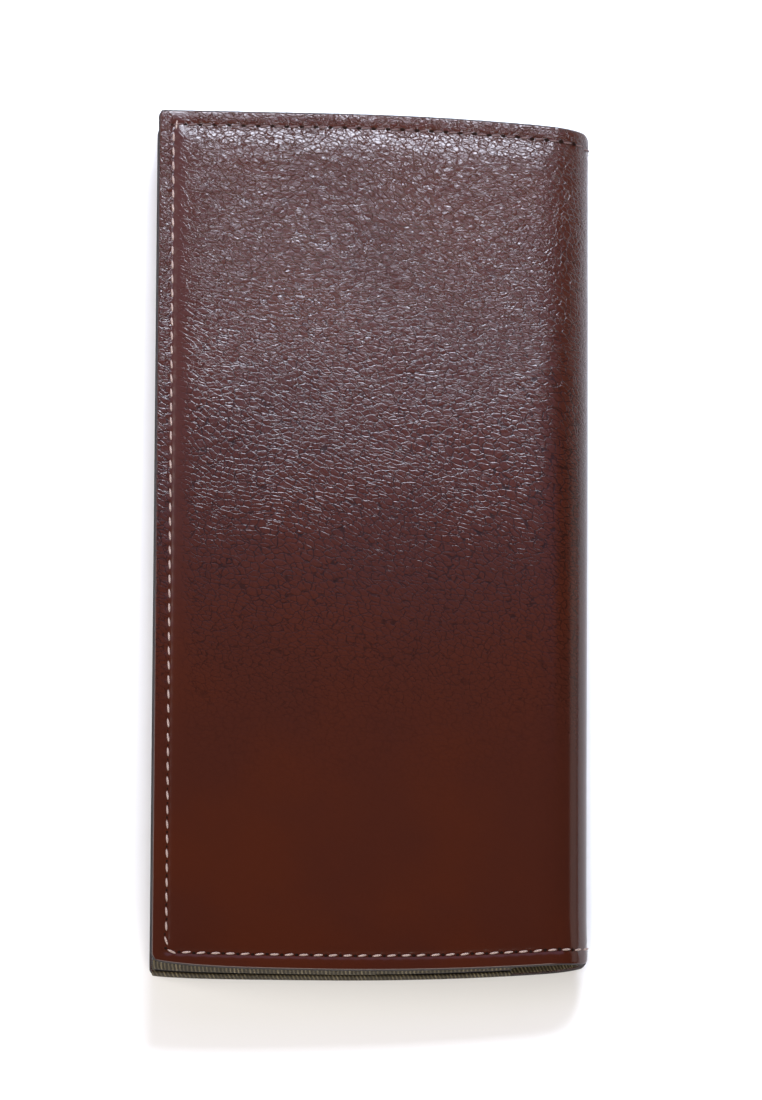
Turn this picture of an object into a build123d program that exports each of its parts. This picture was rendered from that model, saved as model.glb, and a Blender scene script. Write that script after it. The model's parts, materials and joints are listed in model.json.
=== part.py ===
"""Long bifold wallet, closed and lying on its back cover.

Row frame: X runs across the wallet from the free edge (-X) to the fold (+X), Y runs along
its length, and +Z points up through the stack. The origin is at the centre of the footprint,
on the surface that the wallet lies on. All sizes are in millimetres.

Each half is a stack of sheets. A height measured from the outside of a cover inwards is called
a depth. The back half's depths are its Z values. The front half is made the same way, turned
over onto the back half, and then lifted a little about its fold, as a soft wallet springs open.
"""

import math
import os

from build123d import *

# Driving sizes of the closed wallet
LENGTH = 190.0
WIDTH = 95.0
CLOSED_HEIGHT = 16.0
SPRING_ANGLE = 2.2

# Outline seen from above
FREE_CORNER_RADIUS = 1.6
FOLD_CORNER_RADIUS = 3.0
END_PULL = 2.6
PULL_START_X = -10.0
LEAST_CORNER_RADIUS = 0.5

# Leather, board and cloth
LEATHER = 1.2
BOARD = 0.9
CLOTH = 0.4
PANEL_LEATHER = 1.0
SLOT_LEATHER = 0.9
BILL_GAP = 0.5
COIN_GAP = 2.0

# The fold: half an ellipse, with a hinge line near each of its corners
FOLD_REACH = 12.0
HINGE_GAP = 0.15

# The padded middle of a cover stands proud of its sewn margin by the board's thickness
SEAM_MARGIN = 3.3
SLOPE_RUN = 7.0
BOARD_END_X = 34.0
SEWN_INSET = 3.9
END_SEWN_EXTRA = 1.9
END_SEWN_INSET = SEWN_INSET + END_SEWN_EXTRA

# Inner sheets
SHEET_INSET = 0.5
RIM = 3.0
PANEL_END_X = 31.0
LINING_RISER = 0.4

# Card slots: two columns of stepped pockets, opening towards the fold
SLOT_COUNT = 4
SLOT_STEP = 9.0
FIRST_SLOT_X = 29.0
COLUMN_GAP = 4.0

# Slip pocket on the coin pocket
SLIP_POCKET_X = 10.0

# Zip of the coin pocket, parallel to the fold
ZIP_X = 24.0
ZIP_HALF_LENGTH = 80.0
ZIP_WINDOW = 6.4
TAPE_THICK = 0.5
TAPE_WIDE = 11.0
TAPE_SPLIT = 0.8
TAPE_OVERRUN = 4.0
WINDOW_OVERRUN = 2.0
TEETH_SHORTER_BY = 6.0
TOOTH_PITCH = 2.2
TOOTH = (1.8, 1.0, 1.6)
TOOTH_FROM_CENTRE = 0.5
STOP = (2.0, 2.4, 2.0)
SLIDER = (6.0, 8.0)
SLIDER_CORNER = 1.6
SLIDER_PLATE = 0.5
SLIDER_PLAY = 0.1
POST = (0.6, 1.8)
POST_INSET = 1.0
SLIDER_START_Y = 72.0

# The slider's bridge is an arch along the zip, and the pull's eye bar lies under it
BRIDGE = (1.4, 5.2, 2.0)
BRIDGE_FOOT = 0.8
BRIDGE_TOP = 0.4
PULL_LONG = 15.0
PULL_WIDE = 4.8
PULL_THICK = 0.9
PULL_LIFT = 0.4
PULL_CORNER = 1.5
EYE_BAR = 0.7
EYE = (3.2, 3.0)
EYE_BAR_TO_FOOT = 0.4

# Thread
STITCH_PITCH = 3.15
STITCH_LONG = 2.5
THREAD_RADIUS = 0.25
INNER_THREAD_RADIUS = 0.2
INNER_SEAM_MARGIN = 1.6
COVER_FOLD_STITCHES = (-82.0, -66.0, -49.5)
SPINE_STITCHES = (-24.0, 0.0, 24.0)
SLOPE_PROBE = 0.5

# How far a cutting block passes beyond the solid that it cuts: a little, and well clear of all
PAST = 1.0
WELL_PAST = 5.0
CUT_REACH = 60.0

# Depths of the sheets in each half
MARGIN_DEPTH = BOARD
LINING_DEPTH = LEATHER + BOARD
BILL_DEPTH = LINING_DEPTH + CLOTH
DIVIDER_DEPTH = BILL_DEPTH + BILL_GAP
COIN_DEPTH = DIVIDER_DEPTH + CLOTH
COIN_VOID_DEPTH = COIN_DEPTH + CLOTH
COIN_PANEL_DEPTH = COIN_VOID_DEPTH + COIN_GAP
SLIP_DEPTH = COIN_PANEL_DEPTH + PANEL_LEATHER
TAPE_DEPTH = COIN_PANEL_DEPTH - TAPE_THICK
TOOTH_CENTRE_DEPTH = TAPE_DEPTH + TAPE_THICK / 2
SLOT_DEPTH = DIVIDER_DEPTH + PANEL_LEATHER
PLATEAU_Y = LENGTH / 2 - END_SEWN_INSET - SLOPE_RUN
MARGIN_STEP_Y = PLATEAU_Y + SLOPE_RUN / 2

HALF_LENGTH = LENGTH / 2
HALF_WIDTH = WIDTH / 2
FLAT_END_X = HALF_WIDTH - FOLD_REACH
FOLD_RISE = CLOSED_HEIGHT / 2


def hinge_offset():
    """Distance from the outer fold line and from the cover plane to a hinge line, which are equal."""
    squares = 1 / FOLD_REACH**2 + 1 / FOLD_RISE**2
    sums = 1 / FOLD_REACH + 1 / FOLD_RISE
    return (sums - math.sqrt(sums**2 - squares)) / squares


HINGE_OFFSET = hinge_offset()
HINGE_X = HALF_WIDTH - HINGE_OFFSET
BACK_HINGE_Z = HINGE_OFFSET
FRONT_HINGE_Z = CLOSED_HEIGHT - HINGE_OFFSET


def block(x_range, y_range, z_range):
    """A rectangular block between three pairs of planes."""
    sizes = [high - low for low, high in (x_range, y_range, z_range)]
    centre = [(high + low) / 2 for low, high in (x_range, y_range, z_range)]
    return Pos(*centre) * Box(*sizes)


def outline(inset=0.0):
    """The wallet seen from above: a rectangle whose ends are pulled in towards the fold."""
    left = -HALF_WIDTH + inset
    right = HALF_WIDTH - inset
    end = HALF_LENGTH - inset
    pulled = end - END_PULL
    edges = [
        Line((PULL_START_X, end), (left, end)),
        Line((left, end), (left, -end)),
        Line((left, -end), (PULL_START_X, -end)),
        TangentArc((PULL_START_X, -end), (right, -pulled), tangent=(1, 0)),
        Line((right, -pulled), (right, pulled)),
        TangentArc((PULL_START_X, end), (right, pulled), tangent=(1, 0)),
    ]
    face = Face(Wire(edges))
    free_corners = [v for v in face.vertices() if v.X < left + PAST]
    face = face.fillet_2d(max(FREE_CORNER_RADIUS - inset, LEAST_CORNER_RADIUS), free_corners)
    fold_corners = [v for v in face.vertices() if v.X > right - PAST]
    return face.fillet_2d(FOLD_CORNER_RADIUS - inset, fold_corners)


def outline_prism(inset=0.0):
    """The outline, taller than the closed wallet."""
    return Pos(0, 0, -WELL_PAST) * extrude(outline(inset), CLOSED_HEIGHT + 2 * WELL_PAST, dir=(0, 0, 1))


def sheet(x_end, depth, thick, inset=SHEET_INSET, x_start=-HALF_WIDTH, y_range=(-HALF_LENGTH, HALF_LENGTH)):
    """A flat sheet cut to the outline, from x_start to x_end."""
    return block((x_start, x_end), y_range, (depth, depth + thick)) & outline_prism(inset)


def rim_frame(x_end, depth, thick, closed_at_fold):
    """The sewn border of a pocket: three sides, or four where the pocket is closed at the fold."""
    low_x = -HALF_WIDTH + RIM + SHEET_INSET
    high_x = x_end - RIM if closed_at_fold else x_end + PAST
    end = HALF_LENGTH - END_PULL - RIM - SHEET_INSET
    hollow = block((low_x, high_x), (-end, end), (depth - PAST, depth + thick + PAST))
    return sheet(x_end, depth, thick) - hollow


def frustum(depth_small, depth_large, x_end):
    """A low slab with sloping sides on three edges: the padded middle of a cover."""
    def rectangle(slope, depth):
        left = -HALF_WIDTH + SEWN_INSET + slope
        centre = Pos((left + x_end) / 2, 0, depth)
        return centre * Rectangle(x_end - left, 2 * (HALF_LENGTH - END_SEWN_INSET - slope))

    return loft([rectangle(SLOPE_RUN, depth_small), rectangle(0, depth_large)])


def fold_ring(depth, thick):
    """The half ellipse of the fold as a face in the XZ plane, from a depth inwards."""
    centre = Plane(origin=(FLAT_END_X, 0, FOLD_RISE), x_dir=(1, 0, 0), z_dir=(0, -1, 0))
    outer = Ellipse(FOLD_REACH - depth, FOLD_RISE - depth)
    inner = Ellipse(FOLD_REACH - depth - thick, FOLD_RISE - depth - thick)
    return centre * (outer - inner)


def hinge_normal():
    """Unit vector, square to the fold's outer surface at the back hinge, and its tangent."""
    across = (HINGE_X - FLAT_END_X) / FOLD_REACH**2
    down = (BACK_HINGE_Z - FOLD_RISE) / FOLD_RISE**2
    size = math.hypot(across, down)
    return across / size, down / size


def behind_hinge_line(shift):
    """Everything on the back cover's side of a plane through the back hinge, moved by shift."""
    nx, nz = hinge_normal()
    tx, tz = -nz, nx
    start = (HINGE_X + tx * shift, BACK_HINGE_Z + tz * shift)
    corners = [
        (start[0] + CUT_REACH * nx, start[1] + CUT_REACH * nz),
        (start[0] - CUT_REACH * nx, start[1] - CUT_REACH * nz),
        (start[0] - CUT_REACH * (nx + tx), start[1] - CUT_REACH * (nz + tz)),
        (start[0] + CUT_REACH * (nx - tx), start[1] + CUT_REACH * (nz - tz)),
    ]
    points = [(x, 0, z) for x, z in corners]
    face = Face(Wire(Polyline(*points, close=True).edges()))
    wedge = extrude(face, HALF_LENGTH + WELL_PAST, both=True)
    return wedge & block((0, WIDTH), (-LENGTH, LENGTH), (-WELL_PAST, CLOSED_HEIGHT / 2))


def fold_curve(depth, thick, y_range):
    """The fold's whole ring as a solid on its fold side, between two Y values."""
    low, high = y_range
    ring = extrude(fold_ring(depth, thick), HALF_LENGTH + WELL_PAST, both=True)
    return ring & block((FLAT_END_X, HALF_WIDTH + PAST), (low, high), (-PAST, CLOSED_HEIGHT + PAST))


def curved_part(depth, thick, part_of, y_range=(-HALF_LENGTH, HALF_LENGTH)):
    """The back cover's share of the fold, or the share that lies between the two hinges."""
    ring = fold_curve(depth, thick, y_range)
    if part_of == "back":
        return ring & behind_hinge_line(-HINGE_GAP)
    back_side = behind_hinge_line(HINGE_GAP)
    return ring - back_side - back_side.mirror(Plane.XY.offset(CLOSED_HEIGHT / 2))


def with_margins(depth, thick, part_of, riser=0.0):
    """A curved part whose two ends, where it is sewn, lie deeper by the board's thickness."""
    step = MARGIN_STEP_Y
    shape = curved_part(depth, thick, part_of, (-step, step))
    for low, high in ((-HALF_LENGTH, -step), (step, HALF_LENGTH)):
        shape += curved_part(depth + MARGIN_DEPTH, thick, part_of, (low, high))
    if riser:
        for low, high in ((-step, riser - step), (step - riser, step)):
            shape += curved_part(depth, MARGIN_DEPTH + thick, part_of, (low, high))
    return shape


def cover_leather():
    """One cover: a padded middle with a sewn margin round it, curving up to the hinge line."""
    margin = block((-HALF_WIDTH, FLAT_END_X), (-HALF_LENGTH, HALF_LENGTH), (MARGIN_DEPTH, LINING_DEPTH))
    shape = margin + frustum(0, MARGIN_DEPTH, FLAT_END_X)
    shape -= frustum(LEATHER, LINING_DEPTH, FLAT_END_X)
    shape += with_margins(0, LEATHER, "back")
    return shape & outline_prism()


def stiffener_board():
    """The thin board between leather and lining, with its edges pared down."""
    return frustum(LEATHER, LINING_DEPTH, BOARD_END_X)


def cover_lining():
    """Cloth over the board, stepping down onto the leather at the fold."""
    shape = sheet(FLAT_END_X, LINING_DEPTH, CLOTH)
    riser = block((FLAT_END_X - LINING_RISER, FLAT_END_X), (-PLATEAU_Y, PLATEAU_Y), (LEATHER, LINING_DEPTH))
    shape += riser + with_margins(LEATHER, CLOTH, "back", LINING_RISER)
    return shape & outline_prism(SHEET_INSET)


def bill_divider(thick):
    """The inner wall of the full-length pocket, sewn on three sides and open at the fold."""
    plate = sheet(PANEL_END_X, DIVIDER_DEPTH, thick)
    return plate + rim_frame(PANEL_END_X, BILL_DEPTH, BILL_GAP, closed_at_fold=False)


def coin_pocket_lining():
    """The shallow cloth tray of the coin pocket."""
    plate = sheet(PANEL_END_X, COIN_DEPTH, CLOTH)
    return plate + rim_frame(PANEL_END_X, COIN_VOID_DEPTH, COIN_GAP, closed_at_fold=True)


def coin_pocket_panel():
    """The leather front of the coin pocket, with the zip's window."""
    panel = sheet(PANEL_END_X, COIN_PANEL_DEPTH, PANEL_LEATHER)
    side = ZIP_WINDOW / 2
    end = ZIP_HALF_LENGTH + WINDOW_OVERRUN
    heights = (COIN_PANEL_DEPTH - PAST, SLIP_DEPTH + PAST)
    window = block((ZIP_X - side, ZIP_X + side), (-end, end), heights)
    return panel - window


def zip_tapes():
    """The two woven tapes under the panel, one on each side of the teeth."""
    end = ZIP_HALF_LENGTH + TAPE_OVERRUN
    heights = (TAPE_DEPTH, TAPE_DEPTH + TAPE_THICK)
    free_side = block((ZIP_X - TAPE_SPLIT - TAPE_WIDE, ZIP_X - TAPE_SPLIT), (-end, end), heights)
    reach = PANEL_END_X - RIM
    fold_side = block((ZIP_X + TAPE_SPLIT, reach), (-end, end), heights)
    return free_side, fold_side


def tooth_rows():
    """Two rows of teeth, clamped on the facing edges of the tapes, half a pitch apart."""
    wide, long, high = TOOTH
    count = int((2 * ZIP_HALF_LENGTH - TEETH_SHORTER_BY) / TOOTH_PITCH)
    rows = []
    for side in (-1, 1):
        x = ZIP_X + side * (TOOTH_FROM_CENTRE + wide / 2)
        shift = side * TOOTH_PITCH / 4
        first = -TOOTH_PITCH * (count - 1) / 2 + shift
        grip = wide - (TAPE_SPLIT - TOOTH_FROM_CENTRE)
        slot = Pos(side * (wide - grip / 2 - wide / 2), 0, 0) * Box(grip, long, TAPE_THICK)
        tooth = Box(wide, long, high) - slot
        rows.append([Pos(x, first + n * TOOTH_PITCH, TOOTH_CENTRE_DEPTH) * tooth for n in range(count)])
    return rows


def zip_stops(sign):
    """The two small clamps that stop the slider at one end of the teeth."""
    wide, long, high = STOP
    y = sign * (ZIP_HALF_LENGTH - long / 2)
    stops = []
    for side in (-1, 1):
        clamp = Pos(ZIP_X + side * (TAPE_SPLIT + wide / 2), y, TOOTH_CENTRE_DEPTH) * Box(wide, long, high)
        slot = block(
            (ZIP_X - 2 * wide, ZIP_X + 2 * wide),
            (y - long, y + long),
            (TAPE_DEPTH, TAPE_DEPTH + TAPE_THICK),
        )
        stops.extend((clamp - slot).solids())
    return stops


def slider_heights():
    """Heights of the slider: bottom of the lower plate, its top, then the upper plate's two."""
    half_gap = TOOTH[2] / 2 + SLIDER_PLAY
    lower_top = TOOTH_CENTRE_DEPTH - half_gap
    upper_bottom = TOOTH_CENTRE_DEPTH + half_gap
    return lower_top - SLIDER_PLATE, lower_top, upper_bottom, upper_bottom + SLIDER_PLATE


def on_slider(x_size, y_range, heights):
    """A block centred on the zip's line, with its Y range counted from the slider's middle."""
    y_low, y_high = y_range
    y_range = (SLIDER_START_Y + y_low, SLIDER_START_Y + y_high)
    return block((ZIP_X - x_size / 2, ZIP_X + x_size / 2), y_range, heights)


def zip_slider():
    """Two plates joined by a post between the rows of teeth, with an arched bridge for the pull."""
    wide, long = SLIDER
    bottom, lower_top, upper_bottom, top = slider_heights()
    ends = (-long / 2, long / 2)
    plates = on_slider(wide, ends, (bottom, lower_top)) + on_slider(wide, ends, (upper_bottom, top))
    plates = fillet(plates.edges().filter_by(Axis.Z), SLIDER_CORNER)
    post_wide, post_long = POST
    post_end = long / 2 - POST_INSET
    post = on_slider(post_wide, (post_end - post_long, post_end), (lower_top, upper_bottom))
    bridge_wide, bridge_long, bridge_high = BRIDGE
    half = bridge_long / 2
    bridge = on_slider(bridge_wide, (-half, half), (top, top + bridge_high))
    bridge = fillet(bridge.edges().filter_by(Axis.X).group_by(Axis.Z)[-1], BRIDGE_FOOT)
    hollow = (-half + BRIDGE_FOOT, half - BRIDGE_FOOT)
    return plates + post + bridge - on_slider(2 * bridge_wide, hollow, (top, top + bridge_high - BRIDGE_TOP))


def pull_pivot_y():
    """Where the pull's eye bar lies, just behind the foot of the bridge."""
    foot = SLIDER_START_Y - BRIDGE[1] / 2 + BRIDGE_FOOT
    return foot + EYE_BAR_TO_FOOT + EYE_BAR / 2


def zip_pull():
    """A flat metal pull, lying along the zip, whose eye goes round the foot of the bridge."""
    low = slider_heights()[3] + PULL_LIFT
    heights = (low, low + PULL_THICK)
    bar_end = pull_pivot_y() + EYE_BAR / 2
    x_range = (ZIP_X - PULL_WIDE / 2, ZIP_X + PULL_WIDE / 2)
    plate = block(x_range, (bar_end - PULL_LONG, bar_end), heights)
    plate = fillet(plate.edges().filter_by(Axis.Z), PULL_CORNER)
    eye_wide, eye_long = EYE
    eye_end = bar_end - EYE_BAR
    eye = block((ZIP_X - eye_wide / 2, ZIP_X + eye_wide / 2), (eye_end - eye_long, eye_end), heights)
    return plate - eye


def card_slot(column, number):
    """One card slot: a leather sheet from its opening edge back to the free edge."""
    x_end = FIRST_SLOT_X - number * SLOT_STEP
    half_gap = COLUMN_GAP / 2
    y_range = (half_gap, HALF_LENGTH) if column == "top" else (-HALF_LENGTH, -half_gap)
    return sheet(x_end, SLOT_DEPTH + number * SLOT_LEATHER, SLOT_LEATHER, y_range=y_range)


def end_pull(x):
    """How far the outline's ends are pulled in at x."""
    run = HALF_WIDTH - PULL_START_X
    radius = (run**2 + END_PULL**2) / (2 * END_PULL)
    past = max(0.0, x - PULL_START_X)
    return radius - math.sqrt(radius**2 - past**2)


def stitch(centre, direction, radius=THREAD_RADIUS):
    """One short length of thread lying on the leather."""
    return Plane(origin=centre, z_dir=direction) * Cylinder(radius, STITCH_LONG)


def seam_row(start, direction, count):
    """Centres of a straight row of stitches."""
    return [
        tuple(start[i] + direction[i] * STITCH_PITCH * (n + 0.5) for i in range(3))
        for n in range(count)
    ]


def fold_stitch(angle, end):
    """One stitch on the sewn margin of the fold, at an angle round the half ellipse."""
    reach = FOLD_REACH - MARGIN_DEPTH + THREAD_RADIUS
    rise = FOLD_RISE - MARGIN_DEPTH + THREAD_RADIUS
    turn = math.radians(angle)
    x = FLAT_END_X + reach * math.cos(turn)
    z = FOLD_RISE + rise * math.sin(turn)
    y = end * (HALF_LENGTH - SEAM_MARGIN - end_pull(x))
    return stitch((x, y, z), (-reach * math.sin(turn), 0, rise * math.cos(turn)))


def cover_thread():
    """The stitches of one cover: along its free edge, along both ends and onto the fold."""
    depth = MARGIN_DEPTH - THREAD_RADIUS
    side_x = -HALF_WIDTH + SEAM_MARGIN
    side_count = int((LENGTH - 2 * SEAM_MARGIN) / STITCH_PITCH)
    side_start = (side_x, -side_count * STITCH_PITCH / 2, depth)
    stitches = [stitch(centre, (0, 1, 0)) for centre in seam_row(side_start, (0, 1, 0), side_count)]
    end_count = int((FLAT_END_X - side_x) / STITCH_PITCH)
    for end in (-1, 1):
        for x, _, z in seam_row((side_x, 0, depth), (1, 0, 0), end_count):
            y = end * (HALF_LENGTH - SEAM_MARGIN - end_pull(x))
            rise = end_pull(x + SLOPE_PROBE) - end_pull(x - SLOPE_PROBE)
            slope = -end * rise / (2 * SLOPE_PROBE)
            stitches.append(stitch((x, y, z), (1, slope, 0)))
        stitches.extend(fold_stitch(angle, end) for angle in COVER_FOLD_STITCHES)
    return stitches


def fold_thread():
    """The stitches that carry the seam round the fold, between the hinge lines."""
    return [fold_stitch(angle, end) for end in (-1, 1) for angle in SPINE_STITCHES]


def zip_thread():
    """The two seams that hold the zip's tapes under the edges of its window."""
    count = int(2 * ZIP_HALF_LENGTH / STITCH_PITCH)
    depth = SLIP_DEPTH + INNER_THREAD_RADIUS
    stitches = []
    for side in (-1, 1):
        x = ZIP_X + side * (ZIP_WINDOW / 2 + INNER_SEAM_MARGIN)
        row = seam_row((x, -count * STITCH_PITCH / 2, depth), (0, 1, 0), count)
        stitches.extend(stitch(centre, (0, 1, 0), INNER_THREAD_RADIUS) for centre in row)
    return stitches


def card_column_thread():
    """The seams along the inner sides of the two columns, stepping down from slot to slot."""
    stitches = []
    for number in range(SLOT_COUNT):
        high_x = FIRST_SLOT_X - number * SLOT_STEP
        is_last = number == SLOT_COUNT - 1
        low_x = -HALF_WIDTH + SEAM_MARGIN + RIM if is_last else high_x - SLOT_STEP
        count = int((high_x - low_x) / STITCH_PITCH)
        start_x = (high_x + low_x - count * STITCH_PITCH) / 2
        depth = SLOT_DEPTH + (number + 1) * SLOT_LEATHER + INNER_THREAD_RADIUS
        for side in (-1, 1):
            y = side * (COLUMN_GAP / 2 + INNER_SEAM_MARGIN)
            for centre in seam_row((start_x, y, depth), (1, 0, 0), count):
                stitches.append(stitch(centre, (1, 0, 0), INNER_THREAD_RADIUS))
    return stitches


def turn_over(shape):
    """Moves a piece made in the back half's place to the same place in the front half."""
    over = shape.mirror(Plane.XY.offset(CLOSED_HEIGHT / 2))
    hinge = Axis((HINGE_X, 0, FRONT_HINGE_Z), (0, 1, 0))
    return over.rotate(hinge, SPRING_ANGLE)


def group(solids):
    """Separate solids kept in one node."""
    return Compound(list(solids))


def back_half():
    """Every piece of the half that lies underneath."""
    free_tape, fold_tape = zip_tapes()
    free_teeth, fold_teeth = tooth_rows()
    return {
        "back_cover_leather": cover_leather(),
        "back_stiffener_board": stiffener_board(),
        "back_cover_lining": cover_lining(),
        "back_bill_divider": bill_divider(CLOTH),
        "coin_pocket_lining": coin_pocket_lining(),
        "coin_pocket_panel": coin_pocket_panel(),
        "slip_pocket": sheet(SLIP_POCKET_X, SLIP_DEPTH, SLOT_LEATHER),
        "zip_tape_free_side": free_tape,
        "zip_tape_fold_side": fold_tape,
        "zip_teeth_free_side": group(free_teeth),
        "zip_teeth_fold_side": group(fold_teeth),
        "zip_top_stops": group(zip_stops(1)),
        "zip_bottom_stops": group(zip_stops(-1)),
        "zip_thread": group(zip_thread()),
        "back_edge_thread": group(cover_thread()),
    }


def front_half():
    """Every piece of the half on top, before it is turned over."""
    pieces = {
        "front_cover_leather": cover_leather(),
        "front_stiffener_board": stiffener_board(),
        "front_cover_lining": cover_lining(),
        "card_panel": bill_divider(PANEL_LEATHER),
    }
    for column in ("top", "bottom"):
        for number in range(SLOT_COUNT):
            pieces[f"card_slot_{column}_{number + 1}"] = card_slot(column, number)
    pieces["card_column_thread"] = group(card_column_thread())
    pieces["front_edge_thread"] = group(cover_thread())
    return pieces


def fold():
    """The pieces between the two hinge lines."""
    return {
        "spine_leather": with_margins(0, LEATHER, "spine") & outline_prism(),
        "spine_lining": with_margins(LEATHER, CLOTH, "spine", LINING_RISER) & outline_prism(SHEET_INSET),
        "spine_thread": group(fold_thread()),
    }


def main():
    os.makedirs("parts", exist_ok=True)
    pieces = back_half()
    pieces.update(fold())
    pieces.update({name: turn_over(shape) for name, shape in front_half().items()})
    pieces["zip_slider"] = zip_slider()
    pieces["zip_pull"] = zip_pull()
    for name, shape in pieces.items():
        export_step(shape, f"parts/{name}.step")
    print("nodes", len(pieces))
    print("hinge lines at x", round(HINGE_X, 3), "z", round(BACK_HINGE_Z, 3), round(FRONT_HINGE_Z, 3))
    print("pull turns at x", ZIP_X, "y", round(pull_pivot_y(), 3))


main()
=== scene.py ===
# %% [markdown]
# # A long bifold wallet
#
# The frame already holds every piece of this wallet as a plain solid, in its right place and at its
# real size. What it lacks is what a hand feels: padded covers that dip at the seam, pebbled leather,
# twisted thread, cloth and metal. This lesson makes those one by one. The wallet lies closed on its
# back cover, with its free edge at -X, its fold at +X and its length along Y.

# %% Load the frame
import json
import math

import bmesh
import bpy
import numpy as np
from mathutils import Matrix, Vector

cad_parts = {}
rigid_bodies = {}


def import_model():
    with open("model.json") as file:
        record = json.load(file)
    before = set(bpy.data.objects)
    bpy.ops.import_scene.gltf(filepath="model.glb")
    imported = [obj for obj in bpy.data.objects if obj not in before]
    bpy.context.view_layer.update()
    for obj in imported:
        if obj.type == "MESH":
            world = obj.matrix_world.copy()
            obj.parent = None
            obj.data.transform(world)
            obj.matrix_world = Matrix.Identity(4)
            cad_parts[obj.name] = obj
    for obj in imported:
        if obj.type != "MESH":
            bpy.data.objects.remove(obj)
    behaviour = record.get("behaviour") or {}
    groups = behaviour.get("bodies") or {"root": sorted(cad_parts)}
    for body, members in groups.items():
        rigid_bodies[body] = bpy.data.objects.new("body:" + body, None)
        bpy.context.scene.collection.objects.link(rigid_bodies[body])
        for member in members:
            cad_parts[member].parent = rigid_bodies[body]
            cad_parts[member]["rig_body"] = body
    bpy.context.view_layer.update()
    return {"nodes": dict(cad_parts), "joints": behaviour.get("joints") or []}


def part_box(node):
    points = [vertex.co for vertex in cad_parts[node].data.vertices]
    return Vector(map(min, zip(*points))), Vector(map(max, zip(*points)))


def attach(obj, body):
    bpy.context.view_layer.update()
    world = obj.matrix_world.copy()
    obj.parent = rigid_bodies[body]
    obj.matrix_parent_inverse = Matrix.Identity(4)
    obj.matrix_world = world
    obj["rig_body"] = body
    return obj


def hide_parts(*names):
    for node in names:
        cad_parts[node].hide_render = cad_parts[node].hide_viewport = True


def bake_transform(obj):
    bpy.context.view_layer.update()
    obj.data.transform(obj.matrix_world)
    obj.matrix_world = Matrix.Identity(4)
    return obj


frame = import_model()

# %% [markdown]
# ## Measures
#
# A wallet's maker thinks in one half at a time: where a sheet lies across the wallet, along it, and
# how deep it lies under the outside of the cover. The same three numbers serve both halves, because
# the front half is the back half turned over and sprung open by a small angle. So every piece below
# is first drawn in a half, and then placed in the world.

# %% Read the sizes from the frame
MM = 0.001
joints = {joint["name"]: joint for joint in frame["joints"]}
BACK_HINGE = Vector(joints["back_fold"]["pos_m"])
FRONT_HINGE = Vector(joints["front_fold"]["pos_m"])
HEIGHT = BACK_HINGE.z + FRONT_HINGE.z
SPRING = math.radians(180 - 2 * joints["back_fold"]["range_deg"][1])
HALF_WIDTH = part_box("spine_leather")[1].x
HALF_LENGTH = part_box("back_cover_leather")[1].y
FOLD_REACH = 12 * MM
FOLD_RISE = HEIGHT / 2
FLAT_END = HALF_WIDTH - FOLD_REACH
END_PULL = 2.6 * MM
PULL_START = -10 * MM
print("closed height", HEIGHT, "spring angle", round(math.degrees(SPRING), 2))


# %% Move between a half and the world
def turned(x, z, angle):
    """Points of the front half's section, turned about its hinge line by an angle."""
    dx, dz = x - FRONT_HINGE.x, z - FRONT_HINGE.z
    return (
        FRONT_HINGE.x + dx * np.cos(angle) + dz * np.sin(angle),
        FRONT_HINGE.z - dx * np.sin(angle) + dz * np.cos(angle),
    )


def in_back(x, y, depth):
    """Points of the back half in the world."""
    return np.stack([x, y, depth], axis=-1)


def in_front(x, y, depth):
    """Points of the front half in the world: turned over, and sprung open."""
    x, z = turned(x, HEIGHT - depth, SPRING)
    return np.stack([x, y, z], axis=-1)


def span(node):
    """Lowest and highest x, y and depth of a node, read in its own half."""
    points = np.array([v.co for v in frame["nodes"][node].data.vertices], float)
    if frame["nodes"][node]["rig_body"] == "front_half":
        x, z = turned(points[:, 0], points[:, 2], -SPRING)
        points = np.stack([x, points[:, 1], HEIGHT - z], axis=-1)
    return points.min(axis=0), points.max(axis=0)


LEATHER = span("back_stiffener_board")[0][2]
LINING_DEPTH = span("back_stiffener_board")[1][2]
BILL_DEPTH = span("back_bill_divider")[0][2]
CLOTH = BILL_DEPTH - LINING_DEPTH
RECESS = LINING_DEPTH - LEATHER
for label, size in (("leather", LEATHER), ("cloth", CLOTH), ("recess for the board", RECESS)):
    print(label, round(size / MM, 2), "mm")

# %% [markdown]
# ## The outline and the section
#
# Seen from above, the wallet is a rectangle whose ends are drawn in a little towards the fold, where
# the thick bend takes up leather. Seen from the end, each cover is flat and then runs into a quarter
# of an ellipse that ends in the middle of the fold. Both curves are formulas, so a piece asks for a
# point by its distance along the leather.

# %% Outline and section as formulas
FOLD_CORNER = 1.3 * MM
turn_angles = np.linspace(0, math.pi / 2, 400)
turn_x = FOLD_REACH * np.sin(turn_angles)
turn_z = FOLD_RISE * (1 - np.cos(turn_angles))
turn_length = np.concatenate([[0], np.cumsum(np.hypot(np.diff(turn_x), np.diff(turn_z)))])
FOLD_MIDDLE = FLAT_END + turn_length[-1]


def end_of(x):
    """Half the wallet's length at x."""
    run = HALF_WIDTH - PULL_START
    radius = (run**2 + END_PULL**2) / (2 * END_PULL)
    past = np.maximum(0, x - PULL_START)
    pulled = radius - np.sqrt(radius**2 - past**2)
    into_corner = np.clip(x - (HALF_WIDTH - FOLD_CORNER), 0, FOLD_CORNER)
    rounded = FOLD_CORNER - np.sqrt(FOLD_CORNER**2 - into_corner**2)
    return HALF_LENGTH - pulled - rounded


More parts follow.
